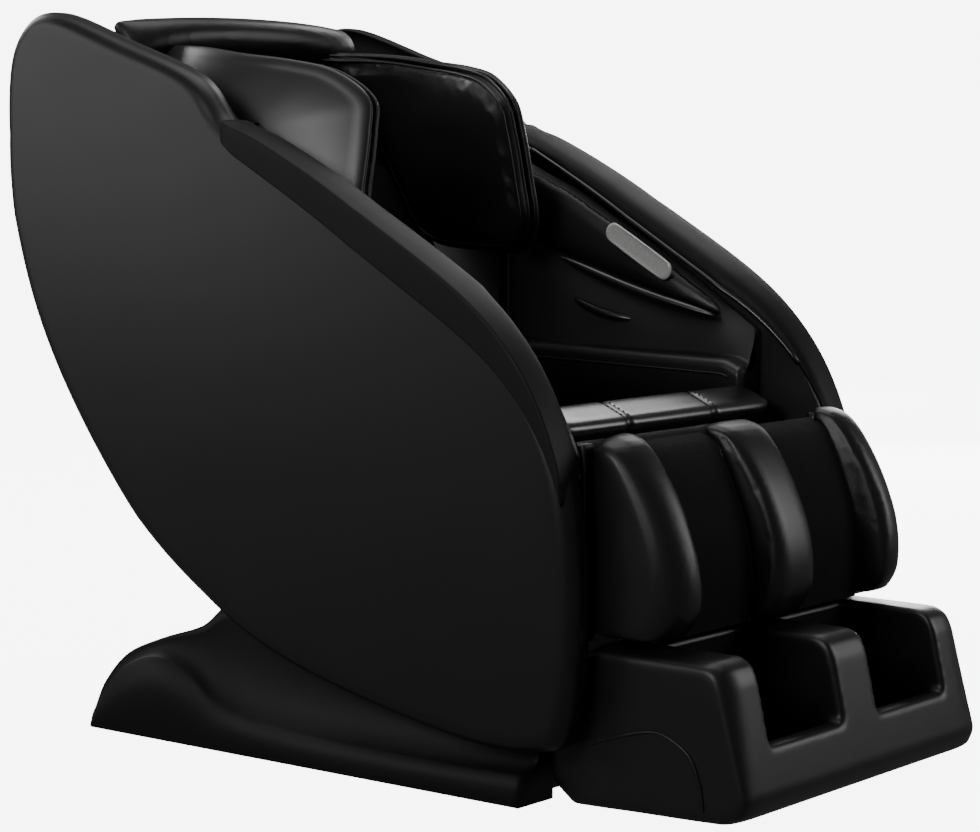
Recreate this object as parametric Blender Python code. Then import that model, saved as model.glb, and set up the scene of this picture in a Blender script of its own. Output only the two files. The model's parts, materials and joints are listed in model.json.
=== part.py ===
"""Massage armchair: floor base, tilting body, reclining back, lifting leg rest.

Metres, +Z up, the front faces -Y, +X is the sitter's left.
The origin is on the floor under the middle of the chair.
"""
import math

import bmesh
import bpy
import numpy as np
from mathutils import Vector

for old in list(bpy.data.objects):
    bpy.data.objects.remove(old, do_unlink=True)

# Fits shared by all pieces
GAP = 0.0006          # between pieces that touch or lie on each other
RUN = 0.0010          # round a pin that turns
SIDE_PLAY = 0.0020    # beside a plate that swings

# Side panels and arm rails
HALF_WIDTH = 0.378    # middle plane to the edge of a side panel's face
PANEL_CROWN = 0.010   # how far the face bulges beyond that edge
PANEL_DEPTH = 0.044   # edge of the face to the inner rim
PANEL_WALL = 0.005
PANEL_ROUND = 0.026   # radius of the turned edge
RAIL_WIDTH = 0.082
RAIL_RISE_REAR = 0.010
RAIL_RISE_FRONT = 0.023
RAIL_LIP = 0.004      # inner drop of the rail below the panel's edge

# Outline of a side panel from the side, as (y, z)
PANEL_POINTS = ((0.590, 1.142), (0.664, 1.116), (0.697, 1.035), (0.690, 0.880), (0.626, 0.670),
                (0.502, 0.472), (0.328, 0.288), (0.120, 0.168), (-0.200, 0.092), (-0.372, 0.084),
                (-0.436, 0.130), (-0.450, 0.330), (-0.420, 0.505), (-0.316, 0.652),
                (-0.098, 0.792), (0.130, 0.920), (0.206, 0.968), (0.276, 1.036), (0.430, 1.092))
PANEL_STEPS = 3
RAIL_FROM = 13        # the rail runs between these two outline points
RAIL_TO = 16

# Pivots, as (y, z)
TILT_AXIS = (-0.300, 0.118)
BACK_AXIS = (0.135, 0.450)
LEG_AXIS = (-0.425, 0.465)
BACK_LEAN = math.radians(30.0)
SHAFT_RADIUS = 0.010

# Floor base
BASE_FRONT = -0.355
BASE_REAR = 0.515
RUNNER_X = HALF_WIDTH - 0.102  # middle of a steel runner
RUNNER_SIZE = 0.036
PAD_HEIGHT = 0.012
SKIRT_OUT = HALF_WIDTH - 0.006  # flared foot of the skirt
SKIRT_NECK = HALF_WIDTH - 0.052  # neck that passes inside the side panel
SKIRT_CLEAR = 0.004   # skirt to floor
WHEEL_RADIUS = 0.030
WHEEL_WIDTH = 0.022
WHEEL_Y = 0.462

# Steel body frame
PLATE_X = HALF_WIDTH - 0.135  # inner face of a body side plate
PLATE_THICK = 0.008

# Seat
SEAT_HALF = PLATE_X - 0.011
SEAT_FRONT = (-0.345, 0.548)
SEAT_REAR = (0.105, 0.462)
SEAT_THICK = 0.086

# Arm liners, between the seat and the side panels
LINER_OUT = HALF_WIDTH - 0.060
LINER_IN = LINER_OUT - 0.062
LINER_WALL = 0.012
ARM_FRONT = -0.300
ARM_REAR = 0.060
ARM_LOW = 0.470
ARM_TOP = ((0.060, 0.862), (-0.098, 0.772), (-0.200, 0.708), (-0.300, 0.640))  # just below the rail
SHELF_TOP = 0.600     # lower lip of the forearm channel
LIP_FRONT = 0.640     # upper lip of the channel at the front, and its slope
LIP_SLOPE = 0.290
ARM_PAD = 0.034

# Back, in its own frame: Z up along the back, Y rearwards, zero on the back axis
BACK_HALF = PLATE_X - 0.011
BACK_LONG = 0.795
BACK_PAD_TOP = BACK_LONG - 0.078  # upper end of the back cushion
HEAD_LOW = BACK_PAD_TOP + 0.007  # the head roll lies above this
HEAD_PAD = 0.078
BACK_PAD = 0.052
BACK_DEEP = 0.150
SHELL_WALL = 0.008
SHELL_EDGE = 0.030    # front edge of the rear cover, where the wings and the head roll join
WING_OUT = HALF_WIDTH - 0.092  # widest half width of the shoulder wings
WING_IN = WING_OUT - 0.111  # half width at their front edge
HEAD_HALF = WING_OUT - 0.005
WING_WALL = 0.012
WING_PAD = 0.040
TRACK_X = PLATE_X - 0.087  # middle of a guide track
ROLLER_RADIUS = 0.020
CARRIAGE_LOW = 0.170  # resting height of the massage carriage

# Leg rest
CALF_HALF = HALF_WIDTH - 0.090
CALF_RIDGE = 0.058    # half width of the middle cushion
CALF_LOBE = CALF_HALF - 0.076  # inner edge of an outer cushion
CALF_POINTS = ((-0.432, 0.540), (-0.505, 0.522), (-0.560, 0.450), (-0.588, 0.365), (-0.582, 0.290),
               (-0.556, 0.246))
CALF_BASE = ((-0.446, 0.510), (-0.470, 0.492), (-0.498, 0.430), (-0.520, 0.365), (-0.526, 0.300),
             (-0.522, 0.246))
CALF_BACK = -0.398
CHEEK_THICK = 0.026   # padded outer side of the leg rest
CHEEK_POINTS = ((-0.404, 0.248), (-0.400, 0.360), (-0.402, 0.470), (-0.420, 0.520), (-0.455, 0.532),
                (-0.500, 0.508), (-0.535, 0.450), (-0.556, 0.370), (-0.552, 0.295), (-0.530, 0.250))
CALF_TOP = 0.428
FOOT_HALF = HALF_WIDTH - 0.062
FOOT_FRONT = -0.700
FOOT_REAR = -0.364
FOOT_TOP = 0.232
FOOT_LOW = 0.014
WELL_IN = 0.044       # a foot well lies between these half widths
WELL_OUT = FOOT_HALF - 0.068
WELL_LIP = 0.108      # height of the front lip
WELL_BACK = -0.500
SLIDE_LEAN = math.radians(12.0)


def smooth(points, steps, closed=True):
    """Points on a smooth curve through the given ones (a cubic through four at a time)."""
    pts = np.array(points, float)
    n = len(pts)
    out = []
    spans = n if closed else n - 1
    for i in range(spans):
        if closed:
            p0, p1, p2, p3 = (pts[(i + k - 1) % n] for k in range(4))
        else:
            p0, p1, p2, p3 = (pts[min(max(i + k - 1, 0), n - 1)] for k in range(4))
        for s in range(steps):
            t = s / steps
            out.append(p1 + 0.5 * t * (p2 - p0 + t * (2 * p0 - 5 * p1 + 4 * p2 - p3
                                                     + t * (3 * (p1 - p2) + p3 - p0))))
    if not closed:
        out.append(pts[-1])
    return np.array(out)


def normals_2d(outline):
    """Outward unit normals of a closed outline, from the chord through the neighbours."""
    chord = np.roll(outline, -1, 0) - np.roll(outline, 1, 0)
    area = np.sum(outline[:, 0] * np.roll(outline[:, 1], -1) - outline[:, 1] * np.roll(outline[:, 0], -1))
    side = np.stack([chord[:, 1], -chord[:, 0]], 1) * (1 if area > 0 else -1)
    return side / np.linalg.norm(side, axis=1)[:, None]


class Home:
    """A rigid body: an empty on its joint axis that its pieces hang from."""

    def __init__(self, name, origin, parent=None, lean=0.0):
        self.origin = Vector(origin)
        self.empty = bpy.data.objects.new(name + "_axis", None)
        bpy.context.collection.objects.link(self.empty)
        self.empty.rotation_euler = (lean, 0.0, 0.0)
        if parent is None:
            self.empty.location = self.origin
        else:
            self.empty.parent = parent.empty
            self.empty.location = self.origin - parent.origin


def look(name, colour, rough, metal=0.0):
    """A plain material."""
    made = bpy.data.materials.new(name)
    made.use_nodes = True
    shader = made.node_tree.nodes["Principled BSDF"]
    shader.inputs["Base Color"].default_value = (*colour, 1.0)
    shader.inputs["Roughness"].default_value = rough
    shader.inputs["Metallic"].default_value = metal
    return made


STEEL = ((0.18, 0.18, 0.19), 0.45, 1.0)
BRIGHT = ((0.60, 0.60, 0.62), 0.25, 1.0)
SHELL = ((0.035, 0.034, 0.034), 0.38, 0.0)
GLOSS = ((0.060, 0.059, 0.058), 0.30, 0.0)
LEATHER = ((0.020, 0.020, 0.021), 0.42, 0.0)
FABRIC = ((0.010, 0.010, 0.011), 0.85, 0.0)
RUBBER = ((0.025, 0.025, 0.025), 0.80, 0.0)
PLASTIC = ((0.050, 0.050, 0.052), 0.55, 0.0)


def solid(name, points, faces, paint, home):
    """One closed body with its own material, hung from its home's axis."""
    mesh = bpy.data.meshes.new(name)
    mesh.from_pydata([tuple(Vector(p) - home.origin) for p in points], [], faces)
    made = bmesh.new()
    made.from_mesh(mesh)
    bmesh.ops.remove_doubles(made, verts=made.verts, dist=0.00005)
    bmesh.ops.recalc_face_normals(made, faces=made.faces)
    made.to_mesh(mesh)
    made.free()
    thing = bpy.data.objects.new(name, mesh)
    bpy.context.collection.objects.link(thing)
    thing.parent = home.empty
    mesh.materials.append(look(name + "_look", *paint))
    return thing


def loft(name, rings, paint, home):
    """Rings of equally many points, joined in order and closed at both ends."""
    n = len(rings[0])
    points = [p for ring in rings for p in ring]
    faces = [tuple(range(n)), tuple(range((len(rings) - 1) * n, len(rings) * n))]
    for r in range(len(rings) - 1):
        for i in range(n):
            j = (i + 1) % n
            faces.append((r * n + i, r * n + j, (r + 1) * n + j, (r + 1) * n + i))
    return solid(name, points, faces, paint, home)


def prism(name, outline, x0, x1, paint, home):
    """A (y, z) outline drawn out along X."""
    return loft(name, [[(x, y, z) for y, z in outline] for x in (x0, x1)], paint, home)


def block(name, low, high, paint, home):
    """A box between two corners."""
    ring = [(low[1], low[2]), (high[1], low[2]), (high[1], high[2]), (low[1], high[2])]
    return prism(name, ring, low[0], high[0], paint, home)


def turned(name, start, end, profile, paint, home, sides=20):
    """A body of revolution: (distance along the axis, radius) pairs from start towards end."""
    start = Vector(start)
    turn = (Vector(end) - start).to_track_quat("Z", "Y").to_matrix()
    rings = []
    for along, radius in profile:
        rings.append([start + turn @ Vector((radius * math.cos(2 * math.pi * k / sides),
                                             radius * math.sin(2 * math.pi * k / sides), along))
                      for k in range(sides)])
    return loft(name, rings, paint, home)


def rod(name, start, end, radius, paint, home, sides=20):
    """A plain round bar."""
    length = (Vector(end) - Vector(start)).length
    return turned(name, start, end, ((0.0, radius), (length, radius)), paint, home, sides)


def work(thing, tool, operation):
    """Join a tool to a body, or cut it away; the tool itself stays hidden."""
    step = thing.modifiers.new(tool.name, "BOOLEAN")
    step.operation = operation
    step.solver = "EXACT"
    step.object = tool
    tool.hide_render = True
    tool.display_type = "WIRE"


def weld(thing, *tools):
    """Join further shapes to a body."""
    for tool in tools:
        work(thing, tool, "UNION")


def bore(thing, *tools):
    """Cut shapes out of a body."""
    for tool in tools:
        work(thing, tool, "DIFFERENCE")


def both(make):
    """Make a piece for each side of the chair."""
    for word, side in (("left", 1), ("right", -1)):
        make(word, side)


def shade_smooth(thing):
    """Round forms are shaded smooth."""
    thing.data.polygons.foreach_set("use_smooth", [True] * len(thing.data.polygons))


BASE = Home("base", (0, 0, 0))
BODY = Home("body", (0, *TILT_AXIS))
BACK = Home("back", (0, *BACK_AXIS), lean=-BACK_LEAN)
BACK.origin = Vector((0, 0, 0))
LEG = Home("leg", (0, *LEG_AXIS))

CHEEK = smooth(CHEEK_POINTS, 2)
CHEEK_MID = CHEEK.mean(0)
PANEL = smooth(PANEL_POINTS, PANEL_STEPS)
PANEL_NORMAL = normals_2d(PANEL)
PANEL_MID = PANEL.mean(0)


def side_panel(word, side):
    """A dished leaf-shaped cover with a crowned face and a turned edge."""
    def ring(scale, inset, x):
        flat = PANEL_MID + (PANEL - PANEL_NORMAL * inset - PANEL_MID) * scale
        return [(side * x, y, z) for y, z in flat]

    rings = [ring(s, PANEL_ROUND, HALF_WIDTH + PANEL_CROWN * (1 - s * s)) for s in (0.3, 0.6, 0.85)]
    for k in range(4):
        turn = math.radians(30 * k)
        rings.append(ring(1, PANEL_ROUND * (1 - math.sin(turn)),
                          HALF_WIDTH - PANEL_ROUND * (1 - math.cos(turn))))
    rings.append(ring(1, 0, HALF_WIDTH - PANEL_DEPTH))
    rings.append(ring(1, PANEL_WALL, HALF_WIDTH - PANEL_DEPTH))
    rings.append(ring(1, PANEL_WALL, HALF_WIDTH - PANEL_ROUND))
    rings.append(ring(1, PANEL_ROUND + PANEL_WALL, HALF_WIDTH - PANEL_WALL))
    rings.append(ring(0.6, PANEL_ROUND, HALF_WIDTH + PANEL_CROWN * 0.64 - PANEL_WALL))
    shade_smooth(loft("side_panel_" + word, rings, SHELL, BODY))


def arm_rail(word, side):
    """The arm cap on the panel's upper edge, taller towards the front."""
    first = RAIL_FROM * PANEL_STEPS
    last = RAIL_TO * PANEL_STEPS
    rings = []
    for i in range(first, last + 1):
        t = (last - i) / (last - first)
        rise = RAIL_RISE_REAR + (RAIL_RISE_FRONT - RAIL_RISE_REAR) * math.sin(0.5 * math.pi * t)
        seat = PANEL_DEPTH + GAP
        section = ((0.001, GAP), (0.006, 0.35 * rise), (0.016, 0.75 * rise), (0.030, rise),
                   (0.056, rise), (RAIL_WIDTH - 0.008, 0.72 * rise), (RAIL_WIDTH, 0.25 * rise),
                   (RAIL_WIDTH, -RAIL_LIP), (seat, -RAIL_LIP), (seat, GAP))
        y, z = PANEL[i]
        rings.append([(side * (HALF_WIDTH - across), y, z + up) for across, up in section])
    shade_smooth(loft("arm_rail_" + word, rings, GLOSS, BODY))


both(side_panel)
both(arm_rail)


def cushion(name, place, thick, paint, home, nu=11, nv=11, folds=(), rest=0.32, even=False):
    """A padded form over a unit square: full in the middle, drawn in at its border.

    place(u, v, h) gives the point at height h over the base; folds are (which, where, depth)
    lines sewn down across it; even spaces the lines along v evenly.
    """
    us = 0.5 - 0.5 * np.cos(np.linspace(0, math.pi, nu))
    vs = np.linspace(0, 1, nv) if even else 0.5 - 0.5 * np.cos(np.linspace(0, math.pi, nv))

    def height(u, v):
        full = (1 - abs(2 * u - 1) ** 4) * (1 - abs(2 * v - 1) ** 4)
        high = thick * (rest + (1 - rest) * math.sqrt(max(full, 0.0)))
        for which, where, depth in folds:
            off = ((u if which == "u" else v) - where) / 0.045
            high -= depth * math.exp(-off * off) * math.sqrt(max(full, 0.0))
        return high

    points = [place(u, v, 0.0) for u in us for v in vs]
    points += [place(u, v, height(u, v)) for u in us for v in vs]
    faces = []
    top = nu * nv
    for i in range(nu - 1):
        for j in range(nv - 1):
            a, b, c, d = i * nv + j, (i + 1) * nv + j, (i + 1) * nv + j + 1, i * nv + j + 1
            faces.append((a, d, c, b))
            faces.append((top + a, top + b, top + c, top + d))
    edge = [i * nv for i in range(nu)]
    edge += [(nu - 1) * nv + j for j in range(1, nv)]
    edge += [i * nv + nv - 1 for i in range(nu - 2, -1, -1)]
    edge += [j for j in range(nv - 2, 0, -1)]
    for k, a in enumerate(edge):
        b = edge[(k + 1) % len(edge)]
        faces.append((a, b, top + b, top + a))
    made = solid(name, points, faces, paint, home)
    shade_smooth(made)
    return made


def mix(a, b, t):
    """A value between two others."""
    return a + (b - a) * t


# Floor base: steel runners, skirts, pads, transport wheels
RUNNER_LOW = PAD_HEIGHT + GAP
RUNNER_TOP = RUNNER_LOW + RUNNER_SIZE
UPRIGHT_IN = PLATE_X + PLATE_THICK + SIDE_PLAY
UPRIGHT_OUT = UPRIGHT_IN + 0.010
CROSS_FRONT = TILT_AXIS[0] - RUNNER_SIZE / 2
CROSS_REAR = 0.280
ACTUATOR_FOOT = (CROSS_REAR + RUNNER_SIZE / 2, RUNNER_TOP + 0.026)
ACTUATOR_HEAD = (0.100, 0.310)
ACTUATOR_PIN = 0.006
ACTUATOR_EYE = 0.012
ACTUATOR_PLAY = 0.006     # clearance at the open head pivot
LUG_IN = 0.016
LUG_OUT = 0.022


def base_frame():
    """Two runners, two cross bars, front uprights for the tilt shaft, lugs and stub axles."""
    half = RUNNER_SIZE / 2
    front = BASE_FRONT + 0.015
    rear = WHEEL_Y + 0.016
    frame = block("base_frame", (RUNNER_X - half, front, RUNNER_LOW), (RUNNER_X + half, rear, RUNNER_TOP),
                  STEEL, BASE)
    tools = [block("runner_right", (-RUNNER_X - half, front, RUNNER_LOW),
                   (half - RUNNER_X, rear, RUNNER_TOP), STEEL, BASE)]
    for word, low in (("front", CROSS_FRONT), ("rear", CROSS_REAR)):
        tools.append(block("cross_" + word, (-RUNNER_X, low, RUNNER_LOW + 0.001),
                           (RUNNER_X, low + RUNNER_SIZE, RUNNER_TOP - 0.001), STEEL, BASE))
    y, z = TILT_AXIS
    ear = [(y - 0.040, RUNNER_LOW + 0.004), (y + 0.045, RUNNER_LOW + 0.004), (y + 0.022, z + 0.016),
           (y + 0.010, z + 0.024), (y - 0.010, z + 0.024), (y - 0.022, z + 0.016)]
    axle_z = WHEEL_RADIUS + SKIRT_CLEAR
    for side in (1, -1):
        tools.append(prism("upright_%d" % side, ear, side * UPRIGHT_IN, side * UPRIGHT_OUT, STEEL, BASE))
        tools.append(rod("stub_%d" % side, (side * RUNNER_X, WHEEL_Y, axle_z),
                         (side * (RUNNER_X - half - WHEEL_WIDTH - 0.004), WHEEL_Y, axle_z), 0.007,
                         STEEL, BASE))
        y0, z0 = ACTUATOR_FOOT
        tools.append(block("lug_%d" % side, (side * LUG_IN, y0 - 0.012, RUNNER_LOW + 0.006),
                           (side * LUG_OUT, y0 + 0.012, z0 + 0.012), STEEL, BASE))
    tools.append(rod("foot_pin", (-LUG_OUT + 0.002, *ACTUATOR_FOOT), (LUG_OUT - 0.002, *ACTUATOR_FOOT),
                     ACTUATOR_PIN, STEEL, BASE))
    weld(frame, *tools)
    bore(frame, rod("tilt_bore", (-0.4, *TILT_AXIS), (0.4, *TILT_AXIS), SHAFT_RADIUS + GAP, STEEL, BASE))


SKIRT_IN = RUNNER_X + RUNNER_SIZE / 2 + GAP


def skirt(word, side):
    """A flared plastic foot with a concave neck that rises inside the side panel."""
    stations = ((BASE_FRONT, 0.050, 0.072, 0.0), (-0.250, 0.047, 0.086, 0.0), (-0.100, 0.046, 0.114, 0.0),
                (0.050, 0.048, 0.152, 0.0), (0.180, 0.058, 0.192, 0.0), (0.252, 0.076, 0.222, 0.0),
                (0.300, 0.108, 0.180, 0.25), (0.370, 0.124, 0.152, 0.6), (0.440, 0.098, 0.119, 0.8),
                (0.490, 0.050, 0.068, 0.85), (BASE_REAR, 0.018, 0.026, 0.85))
    rings = []
    for y, crease, neck, out in stations:
        x = mix(SKIRT_NECK, SKIRT_OUT, out)
        rise = neck - crease
        flare = SKIRT_OUT - x
        rings.append([(side * px, y, pz) for px, pz in (
            (SKIRT_IN, SKIRT_CLEAR), (SKIRT_OUT + 0.006, SKIRT_CLEAR), (SKIRT_OUT, crease),
            (x + 0.45 * flare, crease + 0.10 * rise), (x + 0.13 * flare, crease + 0.38 * rise),
            (x, neck), (SKIRT_IN, neck))])
    loft("base_skirt_" + word, rings, SHELL, BASE)


def skid(word, side):
    """A rubber strip under a runner."""
    block("skid_pad_" + word, (side * (RUNNER_X - 0.014), BASE_FRONT + 0.025, 0.0),
          (side * (RUNNER_X + 0.014), WHEEL_Y - WHEEL_RADIUS - 0.012, PAD_HEIGHT), RUBBER, BASE)


def wheel(word, side):
    """A transport wheel that clears the floor until the chair is tipped back."""
    z = WHEEL_RADIUS + SKIRT_CLEAR
    home = Home("wheel_" + word, (0, WHEEL_Y, z))
    x = RUNNER_X - RUNNER_SIZE / 2 - SIDE_PLAY
    made = turned("transport_wheel_" + word, (side * x, WHEEL_Y, z), (0, WHEEL_Y, z),
                  ((0, WHEEL_RADIUS - 0.004), (0.004, WHEEL_RADIUS), (WHEEL_WIDTH - 0.004, WHEEL_RADIUS),
                   (WHEEL_WIDTH, WHEEL_RADIUS - 0.004)), RUBBER, home, 28)
    bore(made, rod("wheel_bore_" + word, (side * (x - 2 * WHEEL_WIDTH), WHEEL_Y, z),
                   (side * (x + WHEEL_WIDTH), WHEEL_Y, z), 0.007 + RUN, RUBBER, home))


def power_box():
    """Mains inlet with a rocker switch, on the rear cross bar."""
    low = RUNNER_TOP - 0.001 + GAP
    y0 = CROSS_REAR + 0.004
    y1 = CROSS_REAR + RUNNER_SIZE
    box = block("power_inlet", (-0.190, y0, low), (-0.090, y1, low + 0.044), PLASTIC, BASE)
    socket = block("socket_space", (-0.180, y1 - 0.016, low + 0.008), (-0.148, y1 + 0.01, low + 0.034),
                   PLASTIC, BASE)
    pocket = block("switch_space", (-0.132, y1 - 0.014, low + 0.010), (-0.108, y1 + 0.01, low + 0.034),
                   PLASTIC, BASE)
    bore(box, socket, pocket)
    home = Home("switch", (-0.120, y1 - 0.006, low + 0.022))
    rocker = ((y1 - 0.012, low + 0.0165), (y1 + 0.002, low + 0.0125), (y1 - 0.001, low + 0.022),
              (y1 + 0.002, low + 0.0315), (y1 - 0.012, low + 0.0275))
    prism("power_switch", rocker, GAP - 0.132, -0.108 - GAP, PLASTIC, home)


base_frame()
both(skirt)
both(skid)
both(wheel)
power_box()

# Tilt drive: a linear actuator between the base and the body
ACTUATOR = Home("actuator", (0, *ACTUATOR_FOOT))
ROD = Home("actuator_rod", (0, *ACTUATOR_HEAD))


def actuator():
    """Motor tube hinged on the base, with a rod whose head eye rides round the body's pin."""
    foot = Vector((0, *ACTUATOR_FOOT))
    head = Vector((0, *ACTUATOR_HEAD))
    way = (head - foot).normalized()
    length = (head - foot).length
    wide = LUG_IN - SIDE_PLAY
    tube = rod("actuator_tube", foot + way * 0.024, foot + way * 0.170, 0.020, STEEL, ACTUATOR)
    neck = rod("tube_neck", foot + way * 0.008, foot + way * 0.030, 0.009, STEEL, ACTUATOR)
    half = Vector((wide, 0, 0))
    eye = rod("tube_eye", foot - half, foot + half, ACTUATOR_EYE, STEEL, ACTUATOR)
    motor = rod("tube_motor", foot + way * 0.075 + Vector((0.030, 0, 0)),
                foot + way * 0.150 + Vector((0.030, 0, 0)), 0.019, STEEL, ACTUATOR)
    weld(tube, neck, eye, motor)
    bore(tube, rod("tube_pin", foot - Vector((0.05, 0, 0)), foot + Vector((0.05, 0, 0)), ACTUATOR_PIN + RUN,
                   STEEL, ACTUATOR),
         rod("tube_way", foot + way * 0.060, foot + way * 0.200, 0.010 + RUN, STEEL, ACTUATOR))
    made = rod("actuator_rod", foot + way * 0.150, foot + way * (length - 0.006), 0.010, BRIGHT, ROD)
    ring = ACTUATOR_PIN + ACTUATOR_PLAY
    weld(made, rod("rod_eye", head - Vector((wide, 0, 0)), head + Vector((wide, 0, 0)), ring + 0.007,
                   BRIGHT, ROD))
    bore(made, rod("rod_pin", head - Vector((0.05, 0, 0)), head + Vector((0.05, 0, 0)), ring, BRIGHT, ROD))


actuator()


# Tilting body: steel frame, seat, arms
PANEL_BACK = HALF_WIDTH + 0.64 * PANEL_CROWN - PANEL_WALL
PANEL_MOUNTS = ((-0.110, 0.365), (0.045, 0.350))


def seat_low(y):
    """Height of the underside of the seat cushion."""
    t = (y - SEAT_FRONT[0]) / (SEAT_REAR[0] - SEAT_FRONT[0])
    return mix(SEAT_FRONT[1], SEAT_REAR[1], t) - SEAT_THICK


def body_frame():
    """Two side plates with bearings for three shafts, cross tubes and the seat deck."""
    ty, tz = TILT_AXIS
    by, bz = BACK_AXIS
    ly, lz = LEG_AXIS
    side_plate = [(ty - 0.028, tz - 0.020), (ty + 0.028, tz - 0.020), (ty + 0.110, tz + 0.105),
                  (by - 0.055, bz - 0.150), (by + 0.030, bz - 0.040), (by + 0.030, bz + 0.024),
                  (by - 0.028, bz + 0.024), (by - 0.060, seat_low(by - 0.060) - 0.004),
                  (ly + 0.100, seat_low(ly + 0.100) - 0.004), (ly + 0.065, lz + 0.004),
                  (ly + 0.024, lz + 0.022), (ly - 0.016, lz + 0.024), (ly - 0.028, lz),
                  (ly - 0.016, lz - 0.024), (ly + 0.042, lz - 0.028), (ly + 0.075, lz - 0.165)]
    frame = prism("body_frame", side_plate, PLATE_X, PLATE_X + PLATE_THICK, STEEL, BODY)
    tools = [prism("plate_right", side_plate, -PLATE_X - PLATE_THICK, -PLATE_X, STEEL, BODY)]
    for k, (y, z) in enumerate(((ty + 0.020, tz + 0.180), ACTUATOR_HEAD_TUBE)):
        half = PLATE_X + 0.004
        tools.append(rod("cross_tube_%d" % k, (-half, y, z), (half, y, z), 0.014, STEEL, BODY))
    front = SEAT_FRONT[0] + 0.020
    rear = by - 0.062
    deck = [(front, seat_low(front) - GAP), (rear, seat_low(rear) - GAP),
            (rear, seat_low(rear) - 0.006), (front, seat_low(front) - 0.006)]
    tools.append(prism("seat_deck", deck, -PLATE_X - 0.003, PLATE_X + 0.003, STEEL, BODY))
    hy, hz = ACTUATOR_HEAD
    for side in (1, -1):
        for k, (y, z) in enumerate(PANEL_MOUNTS):
            tools.append(rod("panel_mount_%d_%d" % (k, side), (side * (PLATE_X + 0.003), y, z),
                             (side * (PANEL_BACK - GAP), y, z), 0.013, STEEL, BODY))
        tools.append(prism("head_lug_%d" % side, [(hy - 0.014, hz - 0.010), (hy + 0.012, hz - 0.010),
                                                  (hy + 0.012, hz + 0.040), (hy - 0.014, hz + 0.040)],
                           side * LUG_IN, side * LUG_OUT, STEEL, BODY))
    half = LUG_OUT - 0.002
    tools.append(rod("head_pin", (-half, hy, hz), (half, hy, hz), ACTUATOR_PIN, STEEL, BODY))
    weld(frame, *tools)
    for word, axis in (("tilt", TILT_AXIS), ("back", BACK_AXIS), ("leg", LEG_AXIS)):
        bore(frame, rod("plate_bore_" + word, (-0.4, *axis), (0.4, *axis), SHAFT_RADIUS + RUN, STEEL, BODY))


ACTUATOR_HEAD_TUBE = (ACTUATOR_HEAD[0], ACTUATOR_HEAD[1] + 0.046)


def shafts():
    """The three turned shafts: tilt on the base, back and leg on the body."""
    reach = UPRIGHT_OUT + 0.004
    rod("tilt_shaft", (-reach, *TILT_AXIS), (reach, *TILT_AXIS), SHAFT_RADIUS, BRIGHT, BASE)
    reach = PLATE_X + PLATE_THICK + 0.003
    rod("back_shaft", (-reach, *BACK_AXIS), (reach, *BACK_AXIS), SHAFT_RADIUS, BRIGHT, BODY)
    reach = PLATE_X + PLATE_THICK + SIDE_PLAY + 0.010
    rod("leg_shaft", (-reach, *LEG_AXIS), (reach, *LEG_AXIS), SHAFT_RADIUS, BRIGHT, BODY)


def seat():
    """Three-part seat cushion with a rolled front edge."""
    def place(u, v, h):
        y = mix(SEAT_FRONT[0], SEAT_REAR[0], v)
        return (mix(-SEAT_HALF, SEAT_HALF, u), y, seat_low(y) + h)

    cushion("seat_cushion", place, SEAT_THICK, LEATHER, BODY, 15, 11,
            (("u", 0.30, 0.016), ("u", 0.70, 0.016)), rest=0.55)


def inner_works():
    """Control box and air pump under the seat deck, gear motors beside the side plates."""
    def slung(name, half, y0, y1, drop):
        outline = [(y0, seat_low(y0) - 0.006 - GAP), (y1, seat_low(y1) - 0.006 - GAP),
                   (y1, seat_low(y1) - drop), (y0, seat_low(y0) - drop)]
        prism(name, outline, -half, half, PLASTIC, BODY)

    slung("control_box", 0.110, -0.235, -0.105, 0.062)
    slung("air_pump", 0.075, -0.085, 0.010, 0.070)
    for name, (y, z) in (("leg_motor", (LEG_AXIS[0] + 0.100, LEG_AXIS[1] - 0.105)),
                         ("back_motor", (BACK_AXIS[0] - 0.125, BACK_AXIS[1] - 0.115))):
        profile = ((0, 0.030), (0.030, 0.030), (0.032, 0.024), (0.100, 0.024))
        turned(name, (PLATE_X - GAP, y, z), (0, y, z), profile, PLASTIC, BODY)


def arm_liner(word, side):
    """The inner arm wall below the rail, with a shelf below the forearm channel."""
    wall = [(ARM_FRONT, ARM_LOW), (ARM_REAR, ARM_LOW), *ARM_TOP]
    shelf = [(ARM_FRONT + 0.004, ARM_LOW + 0.002), (ARM_REAR - 0.004, ARM_LOW + 0.002),
             (ARM_REAR - 0.004, SHELF_TOP + 0.005), (ARM_FRONT + 0.008, SHELF_TOP - 0.005)]
    made = prism("arm_liner_" + word, wall, side * (LINER_OUT - LINER_WALL), side * LINER_OUT, LEATHER, BODY)
    boss = [(-0.130, 0.540), (-0.060, 0.540), (-0.060, 0.600), (-0.130, 0.600)]
    weld(made, prism("shelf_" + word, shelf, side * LINER_IN, side * (LINER_OUT - 0.004), LEATHER, BODY),
         prism("boss_" + word, boss, side * (LINER_OUT - 0.004), side * (PANEL_BACK - GAP), LEATHER, BODY))


def arm_pad(word, side):
    """The air cushion between the rail and the forearm channel, narrower towards the front."""
    front, rear = ARM_TOP[-1], ARM_TOP[0]

    def place(u, v, h):
        y = mix(front[0] + 0.062, rear[0] - 0.008, u)
        top = np.interp(y, [p[0] for p in ARM_TOP[::-1]], [p[1] for p in ARM_TOP[::-1]]) - 0.006
        low = LIP_FRONT + LIP_SLOPE * (y - front[0])
        return (side * (LINER_OUT - LINER_WALL - GAP - h), y, mix(low, top, v))

    cushion("arm_pad_" + word, place, ARM_PAD, LEATHER, BODY, 11, 7, rest=0.6)


body_frame()
shafts()
seat()
inner_works()
both(arm_liner)
both(arm_pad)


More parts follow.
